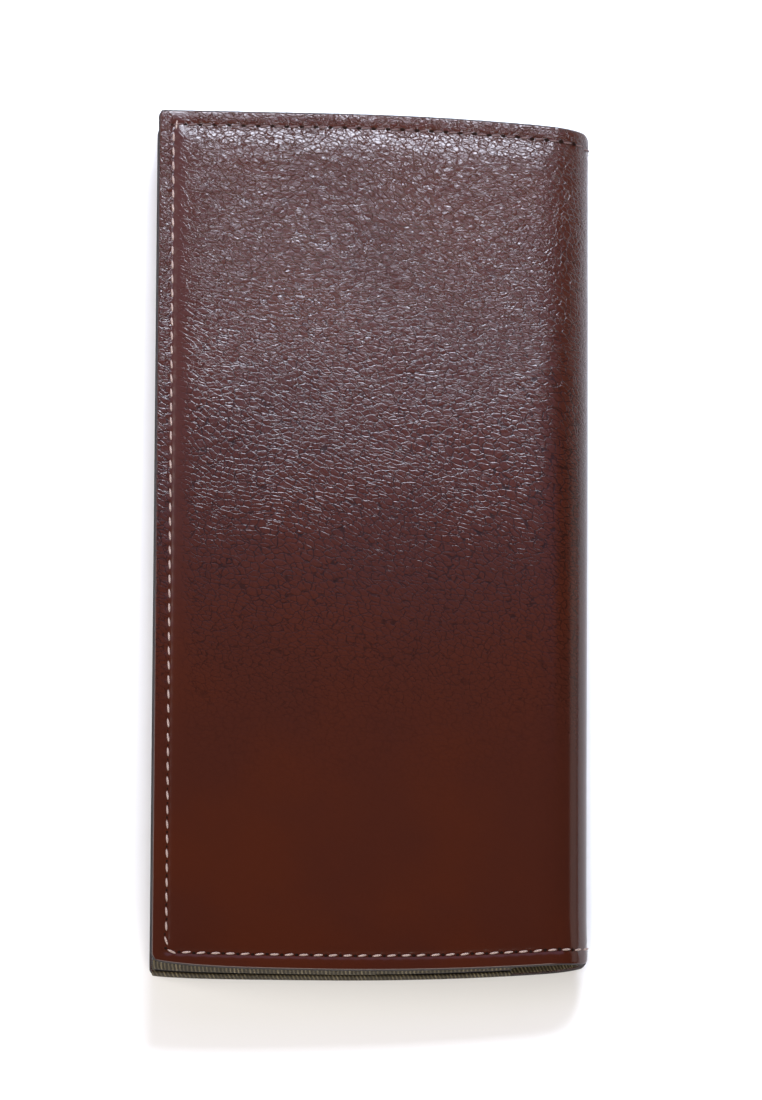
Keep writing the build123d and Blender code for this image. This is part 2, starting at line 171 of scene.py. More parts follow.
def section(s):
    """x and z of the cover's outside at a distance s across it, and the direction inwards."""
    angle = np.interp(s - FLAT_END, turn_length, turn_angles)
    bent = s > FLAT_END
    x = np.where(bent, FLAT_END + FOLD_REACH * np.sin(angle), s)
    z = np.where(bent, FOLD_RISE * (1 - np.cos(angle)), 0)
    across, up = -np.sin(angle) / FOLD_REACH, np.cos(angle) / FOLD_RISE
    size = np.hypot(across, up)
    return x, z, np.where(bent, across / size, 0), np.where(bent, up / size, 1)


def round_end(s):
    """Half the wallet's length at a distance s across the leather."""
    return end_of(section(s)[0])


def eased(t):
    """A soft step: 0 and 1 stay, and what lies between speeds up and slows down."""
    return t * t * (3 - 2 * t)


def bend_share(x, z):
    """How far a point of the back half's section has gone from the cover to the fold, 0 to 1."""
    dx, dz = FOLD_REACH, FOLD_RISE
    return eased(np.clip(((x - FLAT_END) * dx + z * dz) / (dx**2 + dz**2), 0, 1))


def round_back(s, y, depth):
    """Points at a depth under the back cover's outside, round the fold too."""
    x, z, nx, nz = section(s)
    return np.stack([x + nx * depth, y, z + nz * depth], axis=-1)


def round_front(s, y, depth):
    """The same for the front cover, where the spring angle fades out towards the fold."""
    x, z, nx, nz = section(s)
    px, pz = x + nx * depth, z + nz * depth
    x, z = turned(px, HEIGHT - pz, SPRING * (1 - bend_share(px, pz)))
    return np.stack([x, y, z], axis=-1)


print("leather from free edge to middle of fold", round((FOLD_MIDDLE + HALF_WIDTH) / MM, 1), "mm")

# %% [markdown]
# ## One way to make every sheet
#
# Leather, board and cloth are all sheets with a thickness, an outline and a soft edge. Modelling
# each from a cube would give hard corners and stretched faces. Instead one function lays a grid over
# the sheet, drops each point to a depth that a formula gives, does the same for the other face, and
# joins the two by a rounded rim. It also stores where each point lies on the flat sheet, because a
# grain that follows the leather has to bend with it, and how far round the painted rim it is.

# %% The sheet maker
RIM_STEPS = 3
LEAST_GAP = 0.05 * MM
LEAST_RADIUS = 0.2 * MM


def spaced(low, high, step, fine_low=0.0, fine_high=0.0, fine=0.35 * MM):
    """Grid lines from low to high, closer together in a band at either end."""
    parts = []
    if fine_low:
        parts.append(np.arange(low, low + fine_low, fine))
    count = max(2, int(round((high - low - fine_low - fine_high) / step)))
    parts.append(np.linspace(low + fine_low, high - fine_high, count + 1))
    if fine_high:
        parts.append(high - np.arange(0, fine_high, fine)[::-1])
    lines = np.unique(np.round(np.concatenate(parts), 8))
    return lines[np.concatenate([[True], np.diff(lines) > LEAST_GAP])]


def rounded_corners(u, v, radius):
    """Bends the square corner of a grid into a round one. u and v count from the corner's sides."""
    a, b = (radius - u) / radius, (radius - v) / radius
    inside = (a > 0) & (b > 0)
    reach = np.maximum(np.hypot(a, b), 1e-9)
    scale = np.where(inside, np.maximum(a, b) / reach, 1)
    u = np.where(inside, radius * (1 - a * scale), u)
    return u, np.where(inside, radius * (1 - b * scale), v)


def sheet_piece(name, s_lines, t_lines, low_end, high_end, top, bottom, place, rim=0.3 * MM,
                corner=1.6 * MM, flat_cap=False, window=None, flat_sign=1):
    """A closed sheet. top and bottom give depths at (s, y), and place turns them into the world."""
    rows, columns = len(s_lines), len(t_lines)
    s_first, s_last = s_lines[0], s_lines[-1]

    def layer(inset):
        cap = 0 if flat_cap else inset
        share = (s_lines - s_first) / (s_last - s_first)
        s = s_first + inset + share * (s_last - cap - s_first - inset)
        s, t = np.meshgrid(s, t_lines, indexing="ij")
        low, high = low_end(s) + inset, high_end(s) - inset
        y = low + (t + 1) / 2 * (high - low)
        radius = max(corner - inset, LEAST_RADIUS)
        u, v = rounded_corners(s - s_first - inset, y - low, radius)
        s, y = s_first + inset + u, low + v
        u, v = rounded_corners(s - s_first - inset, high - y, radius)
        return s_first + inset + u, high - v

    s, y = layer(rim)
    ring = [(i, 0) for i in range(rows)] + [(rows - 1, j) for j in range(1, columns)]
    ring += [(i, columns - 1) for i in range(rows - 2, -1, -1)]
    ring += [(0, j) for j in range(columns - 2, 0, -1)]
    ring_i, ring_j = np.array(ring).T
    flats, rims = [], []
    for depth in (top(s, y), bottom(s, y)):
        flats.append(np.stack([s, y, depth], axis=-1).reshape(-1, 3))
        on_rim = np.zeros((rows, columns))
        on_rim[ring_i, ring_j] = 0.5
        rims.append(on_rim.ravel())
    for step in range(1, RIM_STEPS + 1):
        angle = math.pi * step / (RIM_STEPS + 1)
        s, y = layer(rim * (1 - math.sin(angle)))
        s, y = s[ring_i, ring_j], y[ring_i, ring_j]
        high, low = top(s, y), bottom(s, y)
        depth = (high + low) / 2 - (low - high) / 2 * math.cos(angle)
        flats.append(np.stack([s, y, depth], axis=-1))
        rims.append(np.ones(len(s)))

    grid = np.arange(rows * columns).reshape(rows, columns)
    quads = np.stack([grid[:-1, :-1], grid[1:, :-1], grid[1:, 1:], grid[:-1, 1:]], axis=-1)
    closing = []
    if window:
        (s_low, s_high), (t_low, t_high) = window
        mid_s = (s_lines[:-1] + s_lines[1:]) / 2
        mid_t = (t_lines[:-1] + t_lines[1:]) / 2
        open_s = (mid_s > s_low) & (mid_s < s_high)
        open_t = (mid_t > t_low) & (mid_t < t_high)
        kept = ~(open_s[:, None] & open_t[None, :])
        cells = np.flatnonzero(open_s), np.flatnonzero(open_t)
        closing = [window_walls(*cells, grid, rows * columns)]
        quads = quads[kept]
    quads = quads.reshape(-1, 4)
    under = quads[:, ::-1] + rows * columns
    loops = [grid[ring_i, ring_j]]
    base = 2 * rows * columns
    for step in range(RIM_STEPS):
        loops.append(base + step * len(ring) + np.arange(len(ring)))
    loops.append(grid[ring_i, ring_j] + rows * columns)
    strips = []
    for first, second in zip(loops[:-1], loops[1:]):
        strips.append(np.stack([first, second, np.roll(second, -1), np.roll(first, -1)], axis=-1))
    faces = np.concatenate([quads, under, *strips, *closing])

    flat = np.concatenate(flats)
    points = place(flat[:, 0], flat[:, 1], flat[:, 2])
    mesh = bpy.data.meshes.new(name)
    mesh.from_pydata(points.tolist(), [], faces.tolist())
    stored = mesh.attributes.new("flat", "FLOAT_VECTOR", "POINT")
    flat = flat - [FOLD_MIDDLE, 0, 0]
    flat[:, 0] *= flat_sign
    stored.data.foreach_set("vector", flat.astype(np.float32).ravel())
    stored = mesh.attributes.new("rim", "FLOAT", "POINT")
    stored.data.foreach_set("value", np.concatenate(rims).astype(np.float32))
    return finished_piece(name, mesh)


def window_walls(s_cells, t_cells, grid, under):
    """Faces that close the sides of a window, from the top face to the bottom one."""
    i_low, i_high = s_cells[0], s_cells[-1] + 1
    j_low, j_high = t_cells[0], t_cells[-1] + 1
    loop = [grid[i, j_low] for i in range(i_low, i_high)]
    loop += [grid[i_high, j] for j in range(j_low, j_high)]
    loop += [grid[i, j_high] for i in range(i_high, i_low, -1)]
    loop += [grid[i_low, j] for j in range(j_high, j_low, -1)]
    return np.array([[a, a + under, b + under, b] for a, b in zip(loop, loop[1:] + loop[:1])])


def finished_piece(name, mesh, smooth=True):
    """A mesh with its faces turned outwards, as an object at the origin."""
    work = bmesh.new()
    work.from_mesh(mesh)
    bmesh.ops.recalc_face_normals(work, faces=work.faces)
    work.to_mesh(mesh)
    work.free()
    mesh.polygons.foreach_set("use_smooth", np.full(len(mesh.polygons), smooth))
    piece = bpy.data.objects.new(name, mesh)
    bpy.context.scene.collection.objects.link(piece)
    return piece


print("a sheet's rim is rounded in", RIM_STEPS + 1, "steps")


# %% [markdown]
# ## Shader sums
#
# A procedural finish is mostly arithmetic on masks. Wiring each Math node by hand hides the idea, so
# a small class lets a socket be added and multiplied like a number, and one method makes any other
# node. Values that are the same all over are worked out in Python and set on the shader itself.


# %% A socket that can be calculated with
class Wire:
    """One output of a material's nodes. Sums on it add Math nodes."""

    def __init__(self, finish, socket):
        self.finish = finish
        self.socket = socket

    def _math(self, operation, first, second):
        return self.finish.node("ShaderNodeMath", {"operation": operation}, {0: first, 1: second})

    def __add__(self, other):
        return self._math("ADD", self, other)

    def __sub__(self, other):
        return self._math("SUBTRACT", self, other)

    def __rsub__(self, other):
        return self._math("SUBTRACT", other, self)

    def __mul__(self, other):
        return self._math("MULTIPLY", self, other)

    __radd__ = __add__
    __rmul__ = __mul__


class Finish:
    """A material made of nodes, with one Principled shader at its end."""

    def __init__(self, name, **constants):
        self.material = bpy.data.materials.new(name)
        self.material.use_nodes = True
        self.nodes = self.material.node_tree.nodes
        self.links = self.material.node_tree.links
        self.nodes.clear()
        self.shader = self.nodes.new("ShaderNodeBsdfPrincipled")
        output = self.nodes.new("ShaderNodeOutputMaterial")
        self.links.new(self.shader.outputs["BSDF"], output.inputs["Surface"])
        for socket, value in constants.items():
            self.shader.inputs[socket.replace("_", " ")].default_value = value

    def node(self, kind, settings=None, inputs=None, out=0):
        """Adds a node, sets what it is told, joins or fills its inputs, and gives back an output."""
        made = self.nodes.new(kind)
        for key, value in (settings or {}).items():
            setattr(made, key, value)
        for key, value in (inputs or {}).items():
            if isinstance(value, Wire):
                self.links.new(value.socket, made.inputs[key])
            else:
                made.inputs[key].default_value = value
        return Wire(self, made.outputs[out])

    def drive(self, **sockets):
        """Joins wires to the shader's inputs."""
        for socket, wire in sockets.items():
            self.links.new(wire.socket, self.shader.inputs[socket.replace("_", " ")])

    def stored(self, name, out="Vector"):
        """A value that was stored on the mesh."""
        return self.node("ShaderNodeAttribute", {"attribute_name": name}, out=out)

    def solid_place(self):
        """A point's place in the world in mm, for finishes that fill a solid."""
        return self.in_mm(self.node("ShaderNodeTexCoord", out="Object"))

    def sheet_place(self):
        """A point's place on its flat sheet in mm, for finishes that follow a surface."""
        return self.in_mm(self.stored("flat"))

    def in_mm(self, vector):
        return self.vectors("SCALE", {0: vector, "Scale": 1 / MM})

    def vectors(self, operation, values):
        return self.node("ShaderNodeVectorMath", {"operation": operation}, values)

    def part(self, vector, axis):
        return self.node("ShaderNodeSeparateXYZ", inputs={0: vector}, out=axis)

    def sized(self, vector, size, turn=0.0):
        """A pattern space whose unit is a box of this size in mm, turned about its normal."""
        return self.node("ShaderNodeMapping", {"vector_type": "TEXTURE"},
                         {0: vector, "Rotation": (0, 0, turn), "Scale": size})

    def noise(self, vector, scale, detail=2.0, rough=0.5, out="Fac"):
        values = {"Vector": vector, "Scale": scale, "Detail": detail, "Roughness": rough}
        return self.node("ShaderNodeTexNoise", {"noise_dimensions": "3D"}, values, out)

    def cells(self, vector, scale=1.0):
        """The distance to the nearest crease between two cells."""
        settings = {"feature": "DISTANCE_TO_EDGE", "voronoi_dimensions": "3D"}
        values = {"Vector": vector, "Scale": scale}
        return self.node("ShaderNodeTexVoronoi", settings, values, "Distance")

    def ribs(self, value, pitch):
        """Sine ribs from 0 to 1, at a pitch in the same unit as value."""
        turns = value * (2 * math.pi / pitch)
        return self.node("ShaderNodeMath", {"operation": "SINE"}, {0: turns}) * 0.5 + 0.5

    def between(self, value, low, high, to_low=0.0, to_high=1.0):
        """A soft step from to_low to to_high as value goes from low to high."""
        settings = {"interpolation_type": "SMOOTHSTEP"}
        values = {0: value, 1: low, 2: high, 3: to_low, 4: to_high}
        return self.node("ShaderNodeMapRange", settings, values)

    def mixed(self, share, first, second):
        """A colour between two colours."""
        values = {0: share, 6: first, 7: second}
        return self.node("ShaderNodeMix", {"data_type": "RGBA"}, values, out=2)

    def warped(self, vector, scale, amount):
        """The pattern space pushed about by a slow noise."""
        push = self.noise(vector, scale, detail=1.0, out="Color")
        push = self.vectors("SUBTRACT", {0: push, 1: (0.5, 0.5, 0.5)})
        push = self.vectors("SCALE", {0: push, "Scale": amount})
        return self.vectors("ADD", {0: vector, 1: push})

    def bump(self, height, distance, strength=1.0):
        """Roughens the surface by a height, in metres at distance."""
        values = {"Height": height, "Distance": distance, "Strength": strength}
        self.drive(Normal=self.node("ShaderNodeBump", inputs=values))


# %% [markdown]
# ## Finishes
#
# Pebbled leather is not random dots. Its cells are flattened pillows of about a millimetre, pulled
# long in one direction, parted by fine creases, and the direction wanders over the hide. So the
# pattern space is stretched and slowly warped, and the distance to the nearest crease of two cell
# patterns makes the height. Creases are a little darker, which is painted shade in their hollows, and
# duller. Pressing at the seam and handling flatten the grain, so the front has a mask that calms it
# there and towards its lower end. The same masks fade the creases' painted shade there, and partly
# towards the upper end, where the creases glint instead.

# %% Colours
OXBLOOD = (0.037, 0.0080, 0.0040, 1)
# Painted shade for the creases of the pebbled leather.
OXBLOOD_CREASE_SHADE = (0.009, 0.0024, 0.0016, 1)
OXBLOOD_WARM = (0.043, 0.0086, 0.0034, 1)
EDGE_PAINT = (0.020, 0.016, 0.017, 1)
INNER_LEATHER = (0.066, 0.0175, 0.0115, 1)
# Darker tone of the pocket leather's worn patches, and painted shade in its pores.
INNER_WORN_AND_SHADE = (0.036, 0.0100, 0.0068, 1)
TWILL_LIGHT = (0.150, 0.120, 0.066, 1)
TWILL_DARK = (0.022, 0.016, 0.008, 1)
THREAD_PALE = (0.46, 0.34, 0.29, 1)
THREAD_PALE_DARK = (0.17, 0.105, 0.085, 1)
# The same thread drawn darker brown: painted shade along the upper end; the inner rows use it too.
THREAD_SHADED_BROWN = (0.13, 0.065, 0.058, 1)
THREAD_SHADED_BROWN_DARK = (0.035, 0.013, 0.010, 1)
print("leather's own colour", OXBLOOD[:3])


# %% Leather
LONG_CELL, LONG_TURN = (2.0, 1.05, 1.6), -0.45
SMALL_CELL, SMALL_TURN = (1.0, 0.68, 0.8), 0.1
GRAIN_HEIGHT = 0.11 * MM
PRESSED_FROM, PRESSED_TO = 3.6, 9.5
MARGIN_FROM, MARGIN_TO = 2.6, 3.6
LEAST_PRESSED = 0.12


def pebbled_leather(name, calm=False):
    """The covers' leather, in mm. calm flattens its grain at the seam and the lower end."""
    finish = Finish(name, IOR=1.45)
    place = finish.sheet_place()
    rim = finish.stored("rim", "Fac")
    flowing = finish.warped(place, 0.03, 9.0)
    shaken = finish.warped(flowing, 0.75, 0.55)
    long_cells = finish.cells(finish.sized(shaken, LONG_CELL, LONG_TURN))
    small_cells = finish.cells(finish.sized(shaken, SMALL_CELL, SMALL_TURN))
    fine = finish.noise(place, 3.2, detail=3.0, rough=0.6)
    crease_wall = finish.between(long_cells, 0.0, 0.10)
    pillow = crease_wall * 0.9 + finish.between(long_cells, 0.0, 0.42) * 0.12
    pebble = finish.between(small_cells, 0.0, 0.11)
    uneven = finish.between(finish.noise(place, 0.45, detail=2.0), 0.3, 0.7, 0.55, 1.15)
    height = (pillow + pebble * 0.35) * uneven + fine * 0.06
    # Painted shade in the hollows of the creases: this mask darkens the colour.
    long_shaded_crease = (1 - finish.between(long_cells, 0.0, 0.09)) * 0.8
    shaded_crease = long_shaded_crease + (1 - finish.between(small_cells, 0.0, 0.12)) * 0.45
    rough = 0.22 + fine * 0.07
    if calm:
        across, along = finish.part(place, 0), finish.part(place, 1)
        free_edge = -(FOLD_MIDDLE + HALF_WIDTH) / MM
        middle = finish.between(across, free_edge + PRESSED_FROM, free_edge + PRESSED_TO,
                                LEAST_PRESSED, 1.0)
        margin = finish.between(across, free_edge + MARGIN_FROM, free_edge + MARGIN_TO, 1.0, 0.0)
        unpressed = finish.node("ShaderNodeMath", {"operation": "MAXIMUM"}, {0: middle, 1: margin})
        # These masks fade the creases' painted shade towards the lower end, and partly towards the
        # upper end, where the creases glint.
        raised = finish.between(along, -33.0, 122.0, 0.03, 1.0)
        lower_crease_shade = finish.between(along, -66.0, 8.0, 0.04, 1.0)
        upper_crease_shade = finish.between(along, 0.0, 85.0, 1.0, 0.3)
        height = height * raised * unpressed
        shaded_crease = shaded_crease * (lower_crease_shade * upper_crease_shade * unpressed)
        rough = rough * finish.between(along, -95.0, 80.0, 0.5, 1.0)
    body = 1 - finish.between(rim, 0.55, 0.95)
    finish.bump(height * body, GRAIN_HEIGHT)
    mottle = finish.between(finish.noise(place, 0.035, detail=3.0), 0.35, 0.7)
    color = finish.mixed(mottle, OXBLOOD, OXBLOOD_WARM)
    # Painted shade: the creases are darkened.
    color = finish.mixed(shaded_crease, color, OXBLOOD_CREASE_SHADE)
    color = finish.mixed(1 - body, color, EDGE_PAINT)
    finish.drive(Base_Color=color, Roughness=rough * body + (1 - body) * 0.75)
    return finish.material


def smooth_leather(name):
    """The thinner leather of the pockets, with a soft pressed grain and dark painted rims."""
    finish = Finish(name, IOR=1.46)
    place = finish.sheet_place()
    rim = finish.stored("rim", "Fac")
    pores = finish.cells(finish.warped(place, 0.5, 0.8), 1.5)
    fine = finish.noise(place, 2.6, detail=3.0)
    body = 1 - finish.between(rim, 0.3, 0.8)
    # Painted shade in the pores' creases: this mask darkens the colour and raises the roughness.
    shaded_crease = 1 - finish.between(pores, 0.0, 0.16)
    grain = finish.between(pores, 0.0, 0.3) * 0.5 + fine * 0.25
    finish.bump(grain * body, 0.07 * MM, 0.7)
    worn = finish.noise(place, 0.05, detail=3.0)
    color = finish.mixed(finish.between(worn, 0.3, 0.75, 0.0, 0.4), INNER_LEATHER, INNER_WORN_AND_SHADE)
    # Painted shade: the pores' creases are darkened.
    color = finish.mixed(shaded_crease * 0.4, color, INNER_WORN_AND_SHADE)
    color = finish.mixed(1 - body, color, EDGE_PAINT)
    finish.drive(Base_Color=color, Roughness=0.46 + shaded_crease * 0.15 + fine * 0.08)
    return finish.material


front_leather_finish = pebbled_leather("pebbled leather, front", calm=True)
back_leather_finish = pebbled_leather("pebbled leather, back")
pocket_leather_finish = smooth_leather("pocket leather")
print("grain of", LONG_CELL[:2], "and", SMALL_CELL[:2], "mm, raised", GRAIN_HEIGHT / MM, "mm")

# %% Cloth and thread
RIB_PITCH, YARN_PITCH, TWIST_PITCH = 0.75, 0.31, 0.42
RIB_ACROSS, RIB_ALONG, RIB_DEEP = 0.866, 0.5, 0.08


def twill(name, light, dark):
    """Diagonal ribs over a plain weave. The ribs are sine waves across a turned pattern space."""
    finish = Finish(name, IOR=1.3)
    place = finish.sheet_place()
    shaken = finish.warped(place, 0.4, 0.22)
    across, along, deep = (finish.part(shaken, axis) for axis in (0, 1, 2))
    rib = finish.ribs(across * RIB_ACROSS + along * RIB_ALONG + deep * RIB_DEEP, RIB_PITCH)
    yarn = finish.ribs(across, YARN_PITCH)
    slub = finish.noise(finish.sized(place, (1.6, 0.9, 30.0), 0.5), 1.0)
    finish.bump(rib * 0.8 + yarn * 0.2 + slub * 0.3, 0.10 * MM, 0.8)
    share = finish.between(rib, 0.35, 1.0) * (0.3 + finish.between(slub, 0.35, 0.7) * 0.7)
    finish.drive(Base_Color=finish.mixed(share, dark, light), Roughness=0.92 - rib * 0.12)
    return finish.material


def waxed_thread(name, light, dark):
    """Two twisted strands: fine slanting bands along each stitch."""
    finish = Finish(name, Sheen_Weight=0.2, IOR=1.45)
    place = finish.solid_place()
    slanting = finish.part(place, 0) + finish.part(place, 1) + finish.part(place, 2) * 0.6
    twist = finish.ribs(slanting, TWIST_PITCH)
    fuzz = finish.noise(place, 4.0)
    finish.bump(twist * 0.8 + fuzz * 0.3, 0.06 * MM, 0.8)
    color = finish.mixed(twist * 0.7 + fuzz * 0.3, dark, light)
    finish.drive(Base_Color=color, Roughness=0.48 + fuzz * 0.12)
    return finish.material


twill_finish = twill("olive twill", TWILL_LIGHT, TWILL_DARK)
pale_thread_finish = waxed_thread("pale thread", THREAD_PALE, THREAD_PALE_DARK)
# A darker brown copy of the pale thread, as painted shade for the upper end's row.
shaded_brown_thread_finish = waxed_thread("shaded brown thread", THREAD_SHADED_BROWN, THREAD_SHADED_BROWN_DARK)
print("twill's ribs are", RIB_PITCH, "mm apart, a thread's twists", TWIST_PITCH, "mm")


# %% Holes, board, metal and tape
# Painted shade for the inside of the needle holes.
HOLE_SHADE_COLORS = (0.006, 0.003, 0.002, 1), (0.014, 0.006, 0.004, 1)
BOARD_COLORS = (0.17, 0.12, 0.08, 1), (0.34, 0.26, 0.18, 1)
BRASS_COLORS = (0.52, 0.36, 0.16, 1), (0.28, 0.18, 0.08, 1)
TAPE_COLORS = (0.018, 0.008, 0.006, 1), (0.060, 0.026, 0.019, 1)
HERRINGBONE, TAPE_PITCH = 1.2, 0.55


def needle_hole(name):
    """The shaded inside of a hole, so dark that only a little grain shows."""
    finish = Finish(name, IOR=1.1)
    grain = finish.noise(finish.solid_place(), 2.0)
    finish.drive(Base_Color=finish.mixed(grain, *HOLE_SHADE_COLORS), Roughness=0.8 + grain * 0.1)
    return finish.material


def fibre_board(name):
    """Pressed board, with its fibres lying mostly one way."""
    finish = Finish(name, IOR=1.4)
    fibre = finish.noise(finish.sized(finish.solid_place(), (2.5, 0.6, 1.0), 0.6), 1.2, detail=4.0)
    finish.bump(fibre, 0.08 * MM, 0.6)
    finish.drive(Base_Color=finish.mixed(fibre, *BOARD_COLORS), Roughness=0.8 + fibre * 0.1)
    return finish.material


def aged_brass(name):
    """Brushed zip metal, browner where it is less rubbed."""
    finish = Finish(name, Metallic=1.0, IOR=1.45)
    place = finish.solid_place()
    brushed = finish.noise(finish.sized(place, (0.11, 2.0, 0.3)), 1.0, detail=3.0)
    age = finish.noise(place, 0.5, detail=4.0, rough=0.6)
    finish.bump(brushed, 0.02 * MM, 0.6)
    color = finish.mixed(finish.between(age, 0.35, 0.7), *BRASS_COLORS)
    finish.drive(Base_Color=color, Roughness=0.26 + age * 0.22 + brushed * 0.08)
    return finish.material


def tape_weave(name):
    """The zip's tape: a fine herringbone of two rib directions."""
    finish = Finish(name, Sheen_Weight=0.2, IOR=1.4)
    place = finish.sheet_place()
    across, along = finish.part(place, 0), finish.part(place, 1)
    fold = finish.node("ShaderNodeMath", {"operation": "PINGPONG"}, {0: across, 1: HERRINGBONE})
    rib = finish.ribs(fold + along, TAPE_PITCH)
    fuzz = finish.noise(place, 3.0)
    finish.bump(rib * 0.8 + fuzz * 0.3, 0.08 * MM, 0.8)
    color = finish.mixed(rib * 0.7 + fuzz * 0.3, *TAPE_COLORS)
    finish.drive(Base_Color=color, Roughness=0.85 - rib * 0.1)
    return finish.material


hole_finish = needle_hole("needle hole")
board_finish = fibre_board("fibre board")
brass_finish = aged_brass("aged brass")
tape_finish = tape_weave("zip tape")
print("finishes", len(bpy.data.materials))

# %% [markdown]
# ## The covers
#
# A cover is leather drawn over a thin board, and sewn flat to the rest round its edge. The seam
# pulls it down into a groove, the strip outside the seam stands up a little, and the middle rises
# over the board's pared edge. All of this is a function of one number, the distance to the sewn
# edge, so it is a depth formula on the sheet maker. Each cover is one piece of leather from its free
# edge to the middle of the fold, where it meets the other.

# %% The depth of a cover's outside
SEAM = 3.3 * MM
SEAM_GROOVE = 0.10 * MM
GROOVE_WIDTH = 0.70 * MM
MARGIN_BULGE = 0.07 * MM
RISE_RUN = 9.0 * MM
STITCH_PITCH = 3.15 * MM
PUCKER = 0.05 * MM
MIDDLE_DIP = 0.10 * MM
FOLD_LIFT = 9 * MM
SEAM_DROOP = 0.3
FREE_X = -HALF_WIDTH


def soft_minimum(a, b, radius):
    """The smaller of two distances, with the crease between them rounded."""
    share = np.clip(0.5 + (b - a) / (2 * radius), 0, 1)
    return b + (a - b) * share - radius * share * (1 - share)


def drawn_in(s, amount, run):
    """How much the lower free corner is rounded off, at a distance s across the cover."""
    return amount * np.exp(-(s - FREE_X) / run)


def fold_share(s):
    """0 on the flat of a cover, 1 well into the bend, where no board lifts the leather."""
    return eased(np.clip((s - FLAT_END) / FOLD_LIFT, 0, 1))


def cover_depth(s, y, corner_amount, corner_run):
    """Depth of the outside of a cover, from its seam and its padded middle."""
    low = -round_end(s) + SEAM_DROOP * drawn_in(s, corner_amount, corner_run)
    to_end = np.minimum(y - low, round_end(s) - y)
    to_side = s - FREE_X
    distance = soft_minimum(to_side, to_end, 1.2 * MM)
    risen = 1 - (1 - np.clip((distance - SEAM) / RISE_RUN, 0, 1)) ** 2.4
    bulge = MARGIN_BULGE * np.sin(math.pi * np.clip(distance / SEAM, 0, 1)) * (distance < SEAM)
    groove = SEAM_GROOVE * np.exp(-(((distance - SEAM) / GROOVE_WIDTH) ** 2))
    along = np.where(to_side < to_end, y, s)
    beside = np.exp(-(((distance - SEAM) / MM) ** 2))
    pucker = PUCKER * np.cos(2 * math.pi * along / STITCH_PITCH) * beside
    waves = np.sin(s / (17 * MM) + 0.8) * np.sin(y / (31 * MM) + 0.4)
    middle = MIDDLE_DIP * risen * (1 + waves)
    sunk = RECESS * (1 - risen) * (1 - fold_share(s))
    return sunk - bulge + groove + pucker + middle


print("seam", SEAM / MM, "mm from the edge, padding risen", RISE_RUN / MM, "mm further in")

# %% Make the two covers
def as_sheet(piece, width, length, held, under):
    """Prints a piece's cut size, how it is held and what it lies on."""
    print(f"{piece.name}: cut {width / MM:.1f} x {length / MM:.1f} mm, {held} on {under}")


COVER_STEP = 0.85 * MM
FRONT_CORNER = (1.75 * MM, 9 * MM)
BACK_CORNER = (0.7 * MM, 7 * MM)
s_cover = spaced(FREE_X, FOLD_MIDDLE, COVER_STEP, fine_low=5 * MM)
y_cover = spaced(-HALF_LENGTH, HALF_LENGTH, COVER_STEP, fine_low=5 * MM, fine_high=5 * MM)
y_cover = y_cover / HALF_LENGTH


def dressed(piece, finish):
    """Gives a piece its finish."""
    piece.data.materials.append(finish)


def cover(name, place, corner, finish):
    """One cover's leather, from its free edge to the middle of the fold."""
    piece = sheet_piece(
        name, s_cover, y_cover,
        lambda s: -round_end(s) + drawn_in(s, *corner), round_end,
        lambda s, y: cover_depth(s, y, *corner),
        lambda s, y: np.maximum(cover_depth(s, y, *corner) + 0.8 * LEATHER, LEATHER * 0.96),
        place, rim=0.4 * MM, flat_cap=True,
    )
    dressed(piece, finish)
    board = name.replace("cover_skin", "stiffener_board")
    as_sheet(piece, FOLD_MIDDLE - FREE_X, 2 * HALF_LENGTH, "stretched", board)
    return piece


back_cover = cover("back_cover_skin", round_back, BACK_CORNER, back_leather_finish)
front_cover = cover("front_cover_skin", round_front, FRONT_CORNER, front_leather_finish)
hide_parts("back_cover_leather", "spine_leather")
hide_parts("front_cover_leather", "spine_leather")


def bends(piece, half):
    """Bakes a piece's transform into its mesh, the same for either half."""
    if half == "back":
        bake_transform(piece)
    else:
        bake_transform(piece)


bends(back_cover, "back")
bends(front_cover, "front")
print("cover grid", len(s_cover), "x", len(y_cover))

# %% [markdown]
# ## The boards
#
# The thin boards are wholly inside, between leather and lining. Their solids are already right, so
# they only get a fibrous finish.

# %% Finish the boards
for node in ("back_stiffener_board", "front_stiffener_board"):
    board = frame["nodes"][node]
    board.data.materials.clear()
    dressed(board, board_finish)
    print(node, "keeps its solid")

# %% [markdown]
# ## The linings
#
# A lining is olive twill, glued to the inside of the leather and board and carried round the fold.
# At the two ends it is turned up round the edges of the pockets and over the cover's own raw edge,
# which hides their layers: this is the narrow strip of cloth that shows under the lower end of the
# front cover. The cloth is the sheet maker again, thinner, with a wall at each end.

# %% Make the linings
SHEET_INSET = 0.5 * MM
CLOTH_RIM = 0.12 * MM
WRAP_OUT = 0.08 * MM
WALL = 0.5 * MM
WALL_START = RECESS + 0.45 * LEATHER
TURNED_UP = (5 * MM, 12 * MM)
SLOTS = [f"card_slot_top_{n}" for n in (1, 2, 3, 4)]


def stack_of(*nodes):
    """Where each sheet of a stack ends across the half, and how deep it lies."""
    return [(span(node)[1][0], span(node)[1][2]) for node in nodes]


FRONT_STACK = stack_of("card_panel", *SLOTS)
BACK_STACK = stack_of("coin_pocket_panel", "slip_pocket")


def stack_depth(x, stack):
    """How deep the pockets reach at x: each sheet of the stack ends at its own opening edge."""
    depth = np.full_like(x, BILL_DEPTH)
    for x_end, sheet_depth in stack:
        depth = np.where(x < x_end, np.maximum(depth, sheet_depth), depth)
    return depth


def inner_end(x):
    """Half the length of an inner sheet at x."""
    return end_of(x) - SHEET_INSET


def lining_depth(s, y):
    """Depth of the cloth's hidden face: on the board, and on bare leather round the fold."""
    onto_leather = np.clip((s - FLAT_END + 2.5 * MM) / (4 * MM), 0, 1)
    inside = np.clip((round_end(s) - np.abs(y) - SEAM) / RISE_RUN, 0, 1)
    fold_depth = LEATHER * 1.02 + RECESS * (1 - inside) ** 2 * (1 - fold_share(s))
    share = eased(onto_leather)
    return LINING_DEPTH * (1 - share) + fold_depth * share


